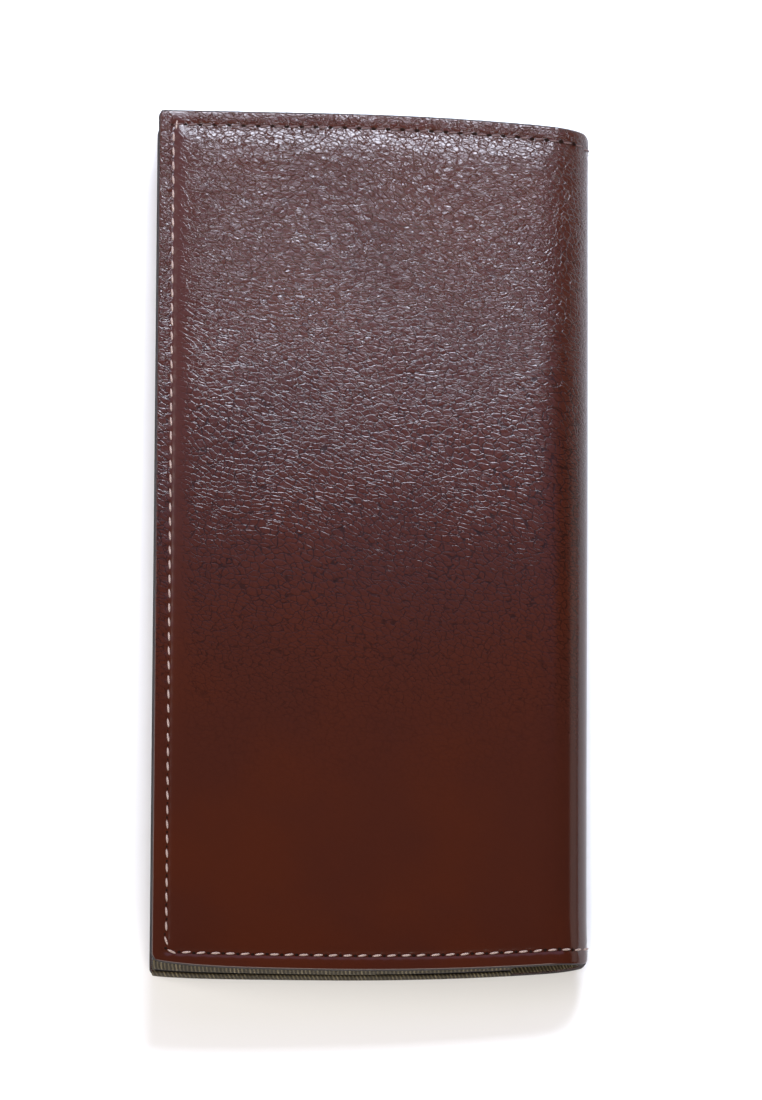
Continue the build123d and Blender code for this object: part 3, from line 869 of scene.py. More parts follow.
def end_wall(name, place, side, stack, corner, flat_sign):
    """The turned-up cloth at one end of the pockets."""
    x_end = span("card_panel")[1][0]
    x_lines = spaced(FREE_X + SHEET_INSET, x_end, 0.9 * MM, fine_low=2 * MM)

    def edge(s):
        droop = drawn_in(s, *corner) if side < 0 else 0
        return side * (end_of(s) + WRAP_OUT - droop)

    def other(s):
        return edge(s) - side * WALL

    def leaning(s, y, depth):
        """The lower end's cloth leans out from under the front cover to the edge of the back one."""
        share = np.clip((depth - LINING_DEPTH) / (HEIGHT / 2 - LINING_DEPTH), 0, 1)
        lean = drawn_in(s, *corner) - drawn_in(s, *BACK_CORNER) if side < 0 else 0
        return place(s, y - lean * share, depth)

    low, high = (edge, other) if side < 0 else (other, edge)
    return sheet_piece(
        name, x_lines, np.linspace(-1, 1, 5), low, high,
        lambda s, y: np.full_like(s, WALL_START),
        lambda s, y: stack_depth(s, stack) - 0.1 * MM,
        leaning, rim=0.1 * MM, corner=0.2 * MM, flat_sign=flat_sign,
    )


def joined(name, parts):
    """Several meshes as one piece, with their stored values kept."""
    chosen = {"active_object": parts[0], "object": parts[0]}
    with bpy.context.temp_override(**chosen, selected_objects=parts,
                                   selected_editable_objects=parts):
        bpy.ops.object.join()
    parts[0].name = name
    return parts[0]


def lining(half, place, flat_place, stack, corner):
    """One half's lining, with its two turned-up ends."""
    s_lines = spaced(FREE_X + SHEET_INSET, FOLD_MIDDLE, 1.2 * MM)
    body = sheet_piece(
        f"{half}_lining_cloth", s_lines, np.linspace(-1, 1, 161),
        lambda s: -inner_end(section(s)[0]) + drawn_in(s, *corner),
        lambda s: inner_end(section(s)[0]),
        lining_depth,
        lambda s, y: lining_depth(s, y) + CLOTH,
        place, rim=CLOTH_RIM, flat_cap=True,
    )
    streaks = -1 if half == "front" else 1
    walls = [end_wall(f"{half}_wall", flat_place, side, stack, corner, streaks)
             for side in (-1, 1)]
    piece = joined(f"{half}_lining_cloth", [body, *walls])
    dressed(piece, twill_finish)
    width, length = FOLD_MIDDLE - FREE_X + TURNED_UP[0], 2 * HALF_LENGTH + TURNED_UP[1]
    as_sheet(piece, width, length, "stretched", f"{half}_stiffener_board")
    return piece


back_lining = lining("back", round_back, in_back, BACK_STACK, BACK_CORNER)
front_lining = lining("front", round_front, in_front, FRONT_STACK, FRONT_CORNER)
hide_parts("back_cover_lining", "spine_lining")
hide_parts("front_cover_lining", "spine_lining")
bends(back_lining, "back")
bends(front_lining, "front")
print("pockets' depths", [round(depth / MM, 2) for _, depth in FRONT_STACK], "mm in the front half")

# %% [markdown]
# ## The pockets
#
# Each pocket is a sheet cut to the outline, sewn at its border and open along one straight edge.
# A maker presses a line along that edge with a hot iron, which is a shallow groove here. Sheets that
# close an empty space, such as the bill pocket, lie thick at the sewn border, where the turned layers
# are, and thin in the middle, so that the space is really there.

# %% Pocket sheets
PRESSED_LINE = 1.7 * MM
LINE_DEPTH = 0.13 * MM
LINE_WIDTH = 0.22 * MM
BORDER = 3.0 * MM
POCKET_RIM = 0.25 * MM
POCKET_CORNER = 1.2 * MM


def pressed(s, x_end):
    """Depth of the ironed line beside an opening edge."""
    return LINE_DEPTH * np.exp(-(((s - (x_end - PRESSED_LINE)) / LINE_WIDTH) ** 2))


def border_share(s, y, x_end, closed):
    """1 on the sewn border of a pocket, 0 in its middle."""
    to_edge = np.minimum(s - FREE_X - SHEET_INSET, inner_end(s) - np.abs(y))
    if closed:
        to_edge = np.minimum(to_edge, x_end - s)
    return eased(1 - np.clip((to_edge - BORDER + 0.5 * MM) / MM, 0, 1))


def soft_wave(s, y, seed):
    """A sheet's own slight waviness. It never crosses a neighbour."""
    return 0.03 * MM * np.sin(s / (9 * MM) + seed * 2.1) * np.sin(y / (23 * MM) + seed)


def lower_end(corner):
    """The lower end of a pocket's sheet, drawn in like the cover that it is sewn to."""
    return lambda s: drawn_in(s, *corner) - inner_end(s)


def pocket_sheet(node, place, face, seed, under, border_depth=None):
    """A pocket's sheet, from its hidden and shown depth and how deep its border reaches."""
    low, high = span(node)
    hidden, shown = face
    corner = FRONT_CORNER if place is in_front else BACK_CORNER
    fine_x = {"fine_low": 2 * MM, "fine_high": 3 * MM, "fine": 0.28 * MM}
    fine_y = {"fine_low": 4 * MM, "fine_high": 4 * MM, "fine": 0.5 * MM}
    x_lines = spaced(low[0], high[0], 1.6 * MM, **fine_x)
    y_lines = spaced(-HALF_LENGTH, HALF_LENGTH, 2.0 * MM, **fine_y)

    def low_end(s):
        starts_inside = low[1] > -HALF_LENGTH / 2
        return np.full_like(s, low[1]) if starts_inside else lower_end(corner)(s)

    def high_end(s):
        return np.full_like(s, high[1]) if high[1] < HALF_LENGTH / 2 else inner_end(s)

    def hidden_depth(s, y):
        if border_depth is None:
            return np.full_like(s, hidden)
        share = border_share(s, y, high[0], closed=False)
        return hidden * (1 - share) + border_depth * share

    def shown_depth(s, y):
        return shown - pressed(s, high[0]) + soft_wave(s, y, seed)

    piece = sheet_piece(
        node + "_sheet", x_lines, y_lines / HALF_LENGTH, low_end, high_end,
        hidden_depth, shown_depth, place, rim=POCKET_RIM, corner=POCKET_CORNER,
    )
    if node == "back_bill_divider":
        dressed(piece, twill_finish)
    else:
        dressed(piece, pocket_leather_finish)
    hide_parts(node)
    as_sheet(piece, high[0] - low[0], high[1] - low[1], "laid", under)
    return piece


print("opening edges pressed", PRESSED_LINE / MM, "mm in, borders sewn", BORDER / MM, "mm wide")

# %% The back half's pockets
divider_depth = span("back_bill_divider")[1][2]
back_divider = pocket_sheet("back_bill_divider", in_back, (divider_depth - CLOTH, divider_depth),
                            1, "back_lining_cloth", border_depth=BILL_DEPTH)
coin_low, coin_high = span("coin_pocket_lining")
panel_low, panel_high = span("coin_pocket_panel")
slip_low, slip_high = span("slip_pocket")


def coin_tray():
    """The coin pocket's cloth: a floor with a raised border that meets the panel."""
    fine = {"fine_low": 4 * MM, "fine_high": 4 * MM, "fine": 0.5 * MM}
    x_lines = spaced(coin_low[0], coin_high[0], 1.2 * MM, **fine)
    y_lines = spaced(-HALF_LENGTH, HALF_LENGTH, 2 * MM, **fine)

    def shown(s, y):
        share = border_share(s, y, coin_high[0], closed=True)
        floor = coin_low[2] + CLOTH
        return floor + (coin_high[2] - floor) * share

    piece = sheet_piece(
        "coin_pocket_cloth", x_lines, y_lines / HALF_LENGTH, lower_end(BACK_CORNER), inner_end,
        lambda s, y: np.full_like(s, coin_low[2]), shown, in_back,
        rim=CLOTH_RIM, corner=POCKET_CORNER,
    )
    dressed(piece, twill_finish)
    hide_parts("coin_pocket_lining")
    as_sheet(piece, coin_high[0] - coin_low[0], 2 * HALF_LENGTH, "laid", "back_bill_divider_sheet")
    return piece


def coin_panel():
    """The leather front of the coin pocket. Its zip window has an ironed line round it."""
    slider_low, slider_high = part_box("zip_slider")
    middle = (slider_low.x + slider_high.x) / 2
    half = (slider_high.x - slider_low.x) / 2 + 0.2 * MM
    window_y = span("zip_teeth_free_side")[1][1] + 5.6 * MM
    steps = np.array([0, 0.15, 0.5, 0.9, 1.3, 2.0]) * MM
    near, far = middle - half - steps[::-1], middle + half + steps
    x_lines = np.concatenate([
        spaced(panel_low[0], near[0], 1.6 * MM, fine_low=2 * MM)[:-1], near,
        np.linspace(near[-1], far[0], 6)[1:-1], far,
        spaced(far[-1], panel_high[0], 0.6 * MM)[1:],
    ])
    ends = window_y + steps
    outer = spaced(ends[-1], HALF_LENGTH, 0.8 * MM)[1:]
    body = np.linspace(-window_y, window_y, 101)
    y_lines = np.concatenate([-outer[::-1], -ends[::-1][:-1], body, ends[1:], outer])

    def shown(s, y):
        out = np.maximum(np.abs(s - middle) - half, np.abs(y) - window_y)
        line = 0.10 * MM * np.exp(-(((out - 0.8 * MM) / (0.2 * MM)) ** 2))
        rounded = 0.25 * MM * np.exp(-((out / (0.25 * MM)) ** 2))
        return panel_high[2] - line - rounded - pressed(s, panel_high[0])

    open_y = window_y / HALF_LENGTH
    piece = sheet_piece(
        "coin_pocket_panel_sheet", x_lines, y_lines / HALF_LENGTH, lower_end(BACK_CORNER),
        inner_end, lambda s, y: np.full_like(s, panel_low[2]), shown, in_back,
        rim=POCKET_RIM, corner=POCKET_CORNER,
        window=((middle - half, middle + half), (-open_y, open_y)),
    )
    dressed(piece, pocket_leather_finish)
    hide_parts("coin_pocket_panel")
    as_sheet(piece, panel_high[0] - panel_low[0], 2 * HALF_LENGTH, "laid", "coin_pocket_cloth")
    return piece


slip_pocket = pocket_sheet("slip_pocket", in_back, (slip_low[2], slip_high[2]), 3,
                           "coin_pocket_panel_sheet")
for piece in (back_divider, coin_tray(), coin_panel(), slip_pocket):
    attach(piece, "back_half")

# %% The front half's pockets
card_low, card_high = span("card_panel")
card_panel = pocket_sheet("card_panel", in_front, (card_high[2] - 1.0 * MM, card_high[2]), 2,
                          "front_lining_cloth", border_depth=BILL_DEPTH)
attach(card_panel, "front_half")
for column in ("top", "bottom"):
    under = "card_panel_sheet"
    for number in (1, 2, 3, 4):
        node = f"card_slot_{column}_{number}"
        low, high = span(node)
        seed = number + 4 * (column == "top")
        slot_piece = pocket_sheet(node, in_front, (low[2], high[2]), seed, under)
        under = slot_piece.name
        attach(slot_piece, "front_half")
print("pocket sheets made")

# %% [markdown]
# ## Stitches
#
# A seam is one stitch repeated hundreds of times along a path, so Geometry Nodes make it. The path
# is a row of points with the direction away from the leather stored on each. The nodes turn the row
# into a curve, cut it into equal steps, and set on each step a grain-shaped stitch and, between two
# stitches, the dark dimple of the needle's hole, whose dark colour is painted shade. Sizes are named
# inputs of the tree, and a fixed seed turns each stitch a little, as a machine does. The thread is
# pale along the lower end and the free side. Along the upper end the same thread is drawn in a darker
# brown, which is painted shade, and its needle holes are larger.


# %% Small helpers for trees
def node_in(tree, kind, settings=None, inputs=None):
    """Adds a Geometry Nodes node and joins or fills its inputs."""
    made = tree.nodes.new(kind)
    for key, value in (settings or {}).items():
        setattr(made, key, value)
    for key, value in (inputs or {}).items():
        if isinstance(value, bpy.types.NodeSocket):
            tree.links.new(value, made.inputs[key])
        else:
            made.inputs[key].default_value = value
    return made


def new_tree(name, sizes):
    """A Geometry Nodes tree with a geometry input and named numbers with their first values."""
    tree = bpy.data.node_groups.new(name, "GeometryNodeTree")
    sockets = tree.interface
    sockets.new_socket("Geometry", in_out="INPUT", socket_type="NodeSocketGeometry")
    for label, value in sizes.items():
        socket = sockets.new_socket(label, in_out="INPUT", socket_type="NodeSocketFloat")
        socket.default_value = value
    sockets.new_socket("Geometry", in_out="OUTPUT", socket_type="NodeSocketGeometry")
    given = tree.nodes.new("NodeGroupInput").outputs
    return tree, given, tree.nodes.new("NodeGroupOutput").inputs[0]


def product(tree, first, second):
    """A Math node that multiplies."""
    inputs = {0: first, 1: second}
    return node_in(tree, "ShaderNodeMath", {"operation": "MULTIPLY"}, inputs).outputs[0]


def vector_of(tree, parts):
    """A vector from the parts that aren't zero, by axis."""
    return node_in(tree, "ShaderNodeCombineXYZ", inputs=parts).outputs[0]


def shaped(tree, mesh, **values):
    """A mesh that is scaled, turned or moved."""
    return node_in(tree, "GeometryNodeTransform", inputs={"Geometry": mesh, **values}).outputs[0]


def ball(tree, rings):
    inputs = {"Segments": 8, "Rings": rings, "Radius": 1.0}
    return node_in(tree, "GeometryNodeMeshUVSphere", inputs=inputs).outputs[0]


def together(tree, *meshes):
    both = node_in(tree, "GeometryNodeJoinGeometry")
    for mesh in meshes:
        tree.links.new(mesh, both.inputs[0])
    return both.outputs[0]


def set_on(tree, points, instance, turn):
    """Copies of a mesh on points, as real geometry."""
    placed = node_in(tree, "GeometryNodeInstanceOnPoints",
                     inputs={"Points": points, "Instance": instance, "Rotation": turn})
    real = node_in(tree, "GeometryNodeRealizeInstances", inputs={0: placed.outputs[0]})
    return real.outputs[0]


def painted(tree, mesh, finish, **only):
    """A mesh with a finish on all of it, or on the faces that only chooses."""
    inputs = {"Geometry": mesh, "Material": finish, **only}
    return node_in(tree, "GeometryNodeSetMaterial", inputs=inputs).outputs[0]


def along_path(tree, geometry, pitch):
    """Points at equal steps of a path, and the turn that lays X along it and Z off the leather."""
    curve = node_in(tree, "GeometryNodeMeshToCurve", inputs={"Mesh": geometry}).outputs[0]
    steps = node_in(tree, "GeometryNodeResampleCurve", {"mode": "LENGTH"},
                    {"Curve": curve, "Length": pitch})
    tangent = node_in(tree, "GeometryNodeInputTangent").outputs[0]
    away = node_in(tree, "GeometryNodeInputNamedAttribute", {"data_type": "FLOAT_VECTOR"},
                   {"Name": "away"})
    turn = node_in(tree, "FunctionNodeAxesToRotation", {"primary_axis": "X", "secondary_axis": "Z"},
                   {"Primary Axis": tangent, "Secondary Axis": away.outputs[0]})
    return steps.outputs[0], turn.outputs[0]


# %% The stitch tree
STITCH_SEED = 7
HOLE_SINK = -0.12 * MM


def stitch_tree(name, thread, hole_size):
    """A row of stitches with a needle's hole after each."""
    tree, given, result = new_tree(name, {
        "Pitch": STITCH_PITCH, "Stitch Length": 2.1 * MM, "Thread Radius": 0.25 * MM,
        "Slant": 0.10, "Wobble": 0.05,
    })
    points, turn = along_path(tree, given["Geometry"], given["Pitch"])
    radius = given["Thread Radius"]
    size = vector_of(tree, {0: product(tree, given["Stitch Length"], 0.5), 1: radius, 2: radius})
    slant = vector_of(tree, {2: given["Slant"]})
    stitch = shaped(tree, ball(tree, 7), Scale=size, Rotation=slant)
    shift = vector_of(tree, {0: product(tree, given["Pitch"], 0.5), 2: HOLE_SINK})
    dimple = shaped(tree, ball(tree, 4), Translation=shift, Scale=hole_size)
    on_faces = {"data_type": "FLOAT", "domain": "FACE"}
    dimple = node_in(tree, "GeometryNodeStoreNamedAttribute", on_faces,
                     {"Geometry": dimple, "Name": "is_hole", "Value": 1.0}).outputs[0]
    wobble = node_in(tree, "FunctionNodeRandomValue", {"data_type": "FLOAT"},
                     {"Min": -1.0, "Max": 1.0, "Seed": STITCH_SEED})
    twist = vector_of(tree, {2: product(tree, wobble.outputs[1], given["Wobble"])})
    turn = node_in(tree, "FunctionNodeRotateRotation", {"rotation_space": "LOCAL"},
                   {0: turn, 1: twist}).outputs[0]
    row = painted(tree, set_on(tree, points, together(tree, stitch, dimple), turn), thread)
    marked = node_in(tree, "GeometryNodeInputNamedAttribute", {"data_type": "FLOAT"},
                     {"Name": "is_hole"})
    tree.links.new(painted(tree, row, hole_finish, Selection=marked.outputs[0]), result)
    print(name, "have", len(tree.nodes), "nodes")
    return tree


pale_hole, shaded_brown_hole = (0.42 * MM, 0.32 * MM, 0.11 * MM), (0.58 * MM, 0.40 * MM, 0.11 * MM)
pale_stitches = stitch_tree("pale stitches", pale_thread_finish, pale_hole)
# Stitches in the darker brown copy of the thread, the painted shade of the upper end's row, with
# larger dark holes; the inner rows use them too.
shaded_brown_stitches = stitch_tree("shaded brown stitches", shaded_brown_thread_finish, shaded_brown_hole)


# %% Run a tree along paths
def made_along(name, paths, tree, sizes, flat_faces=False):
    """The plain mesh that a tree makes along one or more paths of (points, directions away)."""
    mesh = bpy.data.meshes.new(name + "_path")
    points, edges, away = [], [], []
    for path, directions in paths:
        first = len(points)
        points.extend(path.tolist())
        away.extend(directions.tolist())
        edges.extend((first + n, first + n + 1) for n in range(len(path) - 1))
    mesh.from_pydata(points, edges, [])
    mesh.attributes.new("away", "FLOAT_VECTOR", "POINT").data.foreach_set(
        "vector", np.array(away, np.float32).ravel())
    holder = bpy.data.objects.new(name, mesh)
    bpy.context.scene.collection.objects.link(holder)
    modifier = holder.modifiers.new("row", "NODES")
    modifier.node_group = tree
    for item in tree.interface.items_tree:
        if item.in_out == "INPUT" and item.name in sizes:
            modifier[item.identifier] = sizes[item.name]
    evaluated = holder.evaluated_get(bpy.context.evaluated_depsgraph_get())
    result = bpy.data.meshes.new_from_object(evaluated)
    holder.modifiers.clear()
    holder.data = result
    unused = sum(material is None for material in result.materials)
    indices = np.empty(len(result.polygons), np.int32)
    result.polygons.foreach_get("material_index", indices)
    for _ in range(unused):
        result.materials.pop(index=0)
    result.polygons.foreach_set("material_index", indices - unused)
    result.polygons.foreach_set("use_smooth", np.full(len(indices), not flat_faces))
    bpy.data.meshes.remove(mesh)
    print(name, "faces", len(result.polygons), "finishes", len(result.materials))
    return holder


def path_on(place, s, y, depth, lift):
    """A path off a sheet, and the direction away from it. lift is below 0 outside a cover."""
    points = place(s, y, depth + lift)
    away = place(s, y, depth + lift + math.copysign(0.1 * MM, lift)) - points
    return points, away / np.linalg.norm(away, axis=1)[:, None]


# %% The seam round each cover
SEAM_LIFT = -0.10 * MM
CORNER_TURN = 0.9 * MM
END_ROWS = 160
SEAM_END = FOLD_MIDDLE - 0.7 * STITCH_PITCH


def seam_route(corner):
    """s and y of the seam: from the fold along the lower end, up the free side and back."""
    side = FREE_X + SEAM
    s_row = np.linspace(SEAM_END, side + CORNER_TURN, END_ROWS)
    lower = -round_end(s_row) + SEAM + SEAM_DROOP * drawn_in(s_row, *corner)
    upper = round_end(s_row) - SEAM
    angles = np.linspace(0, math.pi / 2, 6)[1:-1]
    turn_s = side + CORNER_TURN * (1 - np.sin(angles))
    low_turn = lower[-1] + CORNER_TURN * (1 - np.cos(angles))
    high_turn = upper[-1] - CORNER_TURN * (1 - np.cos(angles))
    column = np.linspace(lower[-1] + CORNER_TURN, upper[-1] - CORNER_TURN, 240)
    s = np.concatenate([s_row, turn_s, np.full_like(column, side), turn_s[::-1], s_row[::-1]])
    y = np.concatenate([lower, low_turn, column, high_turn[::-1], upper[::-1]])
    return s, y


def cover_seam(half, place, corner):
    """The pale thread of the lower end and the free side, and the same thread along the upper end in
    a darker brown, as painted shade.
    """
    s, y = seam_route(corner)
    edge, end = slice(None, -END_ROWS), slice(None, -END_ROWS - 1, -1)
    # The upper end's row is drawn in the darker brown thread, as painted shade.
    for name, part, tree, slot in (("edge", edge, pale_stitches, "thread"),
                                   ("end", end, shaded_brown_stitches, "brown_thread")):
        depth = cover_depth(s[part], y[part], *corner)
        route = path_on(place, s[part], y[part], depth, SEAM_LIFT)
        piece = made_along(f"{half}_{name}_stitches", [route], tree, {})
        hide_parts(f"{half}_edge_thread", "spine_thread")
        bends(piece, half)


cover_seam("back", round_back, BACK_CORNER)
cover_seam("front", round_front, FRONT_CORNER)

# %% [markdown]
# The same thread shows on the inside, on top of whichever pocket lies uppermost, so the inner row
# steps down from sheet to sheet on its way to the fold. Inside, the thread is brown.


# %% The seam's inner side, and the pockets' own seams
INNER_CORNER = (0, 1 * MM)
STEP_BACK = 0.6 * MM
IN_LINE = 0.2 * MM
SLOT_START, SLOT_END = 0.8 * MM, 0.9 * MM


def inner_seam(half, place, stack):
    """The brown inner side of a cover's seam, on the uppermost pocket all the way."""
    s, y = seam_route(INNER_CORNER)
    flat = s < span("card_panel")[1][0] - 1.2 * MM
    breaks = np.where(np.diff(np.flatnonzero(flat)) > 1)[0] + 1
    runs = np.split(np.flatnonzero(flat), breaks)
    paths = [path_on(place, s[run], y[run], stack_depth(s[run] + STEP_BACK, stack), 0.08 * MM)
             for run in runs]
    sizes = {"Thread Radius": 0.22 * MM}
    piece = made_along(f"{half}_inner_stitches", paths, shaded_brown_stitches, sizes)
    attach(piece, f"{half}_half")


def straight_rows(name, place, rows, node, body):
    """Straight seams on sheets: each row is ((s, y) start, (s, y) end, depth)."""
    count = 40
    paths = []
    for (s0, y0), (s1, y1), depth in rows:
        s, y = np.linspace(s0, s1, count), np.linspace(y0, y1, count)
        paths.append(path_on(place, s, y, np.full(count, depth), 0.06 * MM))
    piece = made_along(name, paths, shaded_brown_stitches, {"Thread Radius": 0.2 * MM})
    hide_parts(node)
    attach(piece, body)


inner_seam("back", in_back, BACK_STACK)
inner_seam("front", in_front, FRONT_STACK)
zip_low, zip_high = span("zip_thread")
zip_rows = [((x, zip_low[1]), (x, zip_high[1]), panel_high[2])
            for x in (zip_low[0] + IN_LINE, zip_high[0] - IN_LINE)]
straight_rows("zip_stitches", in_back, zip_rows, "zip_thread", "back_half")
column_low, column_high = span("card_column_thread")
slot_ends = stack_of(*SLOTS)
slot_starts = [x_end + SLOT_START for x_end, _ in slot_ends[1:]] + [column_low[0]]
column_rows = [((x_start, side), (x_end - SLOT_END, side), depth)
               for x_start, (x_end, depth) in zip(slot_starts, slot_ends)
               for side in (column_low[1] + IN_LINE, column_high[1] - IN_LINE)]
straight_rows("card_column_stitches", in_front, column_rows, "card_column_thread", "front_half")

# %% [markdown]
# ## The zip
#
# The tapes are woven strips, so they are sheets. The teeth are one small cast shape set at equal
# steps along each tape's edge: a jaw that grips the tape and a rounded head. The two rows are half a
# step apart, so that the heads of one lie between the heads of the other.

# %% Tapes
CORD_RISE, CORD_WIDTH = 0.22 * MM, 0.5 * MM


def zip_tape(side):
    """One woven tape, thicker along its inner edge, where a cord is woven in."""
    node = f"zip_tape_{side}_side"
    low, high = span(node)
    edge = high[0] if side == "free" else low[0]

    def cord_depth(s, y):
        return high[2] + CORD_RISE * np.exp(-(((s - edge) / CORD_WIDTH) ** 2)) - 0.02 * MM

    tape = sheet_piece(
        node + "_weave", spaced(low[0], high[0], 0.8 * MM), np.linspace(-1, 1, 85),
        lambda s: np.full_like(s, low[1]), lambda s: np.full_like(s, high[1]),
        lambda s, y: np.full_like(s, low[2]), cord_depth, in_back, rim=0.1 * MM, corner=0.3 * MM,
    )
    dressed(tape, tape_finish)
    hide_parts(node)
    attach(tape, "back_half")
    print(tape.name, round((high[0] - low[0]) / MM, 1), "mm wide")


zip_tape("free")
zip_tape("fold")


# %% Teeth
HEAD_HEIGHT = 1.15 * MM
HEAD_SHARE = -0.62
ROW_OFFSET = 1.30 * MM
ROW_POINTS = 60


def tooth_tree(metal):
    """A row of teeth: a jaw on the tape, and a rounded head that reaches over the middle."""
    tree, given, result = new_tree("zip teeth", {
        "Pitch": 2.2 * MM, "Jaw Width": 1.5 * MM, "Tooth Length": 0.95 * MM,
        "Tooth Height": 1.6 * MM, "Head Reach": 0.95 * MM,
    })
    points, turn = along_path(tree, given["Geometry"], given["Pitch"])
    length, width = given["Tooth Length"], given["Jaw Width"]
    jaw_size = vector_of(tree, {0: length, 1: width, 2: given["Tooth Height"]})
    jaw = node_in(tree, "GeometryNodeMeshCube", inputs={"Size": jaw_size}).outputs[0]
    head = node_in(tree, "GeometryNodeMeshCylinder",
                   inputs={"Vertices": 10, "Radius": 0.5, "Depth": 1.0}).outputs[0]
    head_size = vector_of(tree, {0: length, 1: given["Head Reach"], 2: HEAD_HEIGHT})
    head_place = vector_of(tree, {1: product(tree, width, HEAD_SHARE)})
    head = shaped(tree, head, Scale=head_size, Translation=head_place)
    row = set_on(tree, points, together(tree, jaw, head), turn)
    tree.links.new(painted(tree, row, metal), result)
    return tree


teeth_tree = tooth_tree(brass_finish)
zip_middle = (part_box("zip_slider")[0].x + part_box("zip_slider")[1].x) / 2
upwards = np.tile([0.0, 0.0, 1.0], (ROW_POINTS, 1))
for side, sign in (("free", -1), ("fold", 1)):
    node = f"zip_teeth_{side}_side"
    low, high = span(node)
    x = np.full(ROW_POINTS, zip_middle + sign * ROW_OFFSET)
    y = np.linspace(low[1], high[1], ROW_POINTS) * -sign
    path = in_back(x, y, np.full(ROW_POINTS, (low[2] + high[2]) / 2))
    row = made_along(node + "_row", [(path, upwards)], teeth_tree, {}, flat_faces=True)
    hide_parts(node)
    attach(row, "back_half")


# %% [markdown]
# The stops, the slider and the pull are small castings. Each is an outline, drawn with rounded
# corners, that is given a thickness and then soft edges by a Bevel modifier.


# %% Small castings
CORNER_STEPS = 6


def rounded_outline(half_x, half_y, radius, taper=1.0):
    """A rectangle with round corners. taper narrows its lower end."""
    outline = []
    for quarter, (sx, sy) in enumerate(((1, 1), (-1, 1), (-1, -1), (1, -1))):
        width = half_x if sy > 0 else half_x * taper
        for n in range(CORNER_STEPS + 1):
            angle = math.pi / 2 * (quarter + n / CORNER_STEPS)
            outline.append((sx * (width - radius) + radius * math.cos(angle),
                            sy * (half_y - radius) + radius * math.sin(angle)))
    return outline


def softened(piece, width, angle):
    """Rounds the edges of a casting that are sharper than an angle in degrees."""
    soften = piece.modifiers.new("soft edges", "BEVEL")
    soften.width, soften.segments, soften.limit_method = width, 2, "ANGLE"
    soften.angle_limit = math.radians(angle)
    return piece


def around(ring):
    """Each point of a ring with the next one."""
    return list(zip(ring, ring[1:] + ring[:1]))


def cast_plate(name, outline, low, high, bevel, holes=()):
    """A plate from an outline and holes, with its edges softened."""
    mesh = bpy.data.meshes.new(name)
    work = bmesh.new()
    rings = [[[work.verts.new((x, y, z)) for x, y in loop] for z in (low, high)]
             for loop in (outline, *holes)]
    for bottom, top in rings:
        for (a, b), (c, d) in zip(around(bottom), around(top)):
            work.faces.new([a, b, d, c])
    for level in (0, 1):
        edges = [work.edges.get(pair) for ring in rings for pair in around(ring[level])]
        if holes:
            bmesh.ops.triangle_fill(work, edges=edges, use_beauty=True, use_dissolve=True)
        else:
            work.faces.new(rings[0][level])
    work.to_mesh(mesh)
    work.free()
    return softened(finished_piece(name, mesh, smooth=False), bevel, 40)


def moved(outline, x, y):
    return [(px + x, py + y) for px, py in outline]


def set_metal(piece, node, body):
    """Finishes a casting. One piece of each node's castings stands for the node."""
    dressed(piece, brass_finish)
    if node:
        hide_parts(node)
    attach(piece, body)
    print(piece.name, "rides on", body)


for node in ("zip_top_stops", "zip_bottom_stops"):
    low, high = span(node)
    half, middle = (high - low) / 2, (low + high) / 2
    outline = moved(rounded_outline(half[0], half[1], 0.7 * MM), middle[0], middle[1])
    set_metal(cast_plate(node + "_clamp", outline, low[2], high[2], 0.25 * MM), node, "back_half")

# %% The slider
slider_low, slider_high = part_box("zip_slider")
slider_half, slider_middle = (slider_high - slider_low) / 2, (slider_low + slider_high) / 2
PLATE = 0.5 * MM
BRIDGE_HEIGHT, BRIDGE_HALF, BRIDGE_WIDTH, STRAP = 2.0 * MM, 2.6 * MM, 1.4 * MM, 0.45 * MM
ARCH_STEPS, ARCH_SQUARENESS = 16, 0.6
upper_top = slider_high.z - BRIDGE_HEIGHT


def arch(name, x, y, low):
    """The slider's bridge: a flat strap bent into an arch along the zip."""
    mesh = bpy.data.meshes.new(name)
    points, faces = [], []
    for n in range(ARCH_STEPS + 1):
        angle = math.pi * n / ARCH_STEPS
        along = math.copysign(abs(math.cos(angle)) ** ARCH_SQUARENESS, math.cos(angle))
        rise = math.sin(angle) ** ARCH_SQUARENESS
        for inset in (0, STRAP):
            place = (y - (BRIDGE_HALF - inset) * along, low + (BRIDGE_HEIGHT - inset) * rise)
            points.extend([(x - BRIDGE_WIDTH / 2, *place), (x + BRIDGE_WIDTH / 2, *place)])
    for n in range(ARCH_STEPS):
        a, b = 4 * n, 4 * (n + 1)
        faces += [(a, a + 1, b + 1, b), (a + 2, b + 2, b + 3, a + 3), (a, b, b + 2, a + 2),
                  (a + 1, a + 3, b + 3, b + 1)]
    last = 4 * ARCH_STEPS
    faces += [(0, 2, 3, 1), (last, last + 1, last + 3, last + 2)]
    mesh.from_pydata(points, [], faces)
    return softened(finished_piece(name, mesh), 0.1 * MM, 50)


body_outline = rounded_outline(slider_half.x, slider_half.y, 1.7 * MM, taper=0.78)
body_outline = moved(body_outline, zip_middle, slider_middle.y)
upper = cast_plate("slider_upper_plate", body_outline, upper_top - PLATE, upper_top, 0.2 * MM)
lower = cast_plate("slider_lower_plate", body_outline, slider_low.z, slider_low.z + PLATE, 0.2 * MM)
bridge_piece = arch("slider_bridge", zip_middle, slider_middle.y, upper_top - 0.05 * MM)
set_metal(upper, "zip_slider", "zip_slider")
set_metal(lower, None, "zip_slider")
set_metal(bridge_piece, None, "zip_slider")

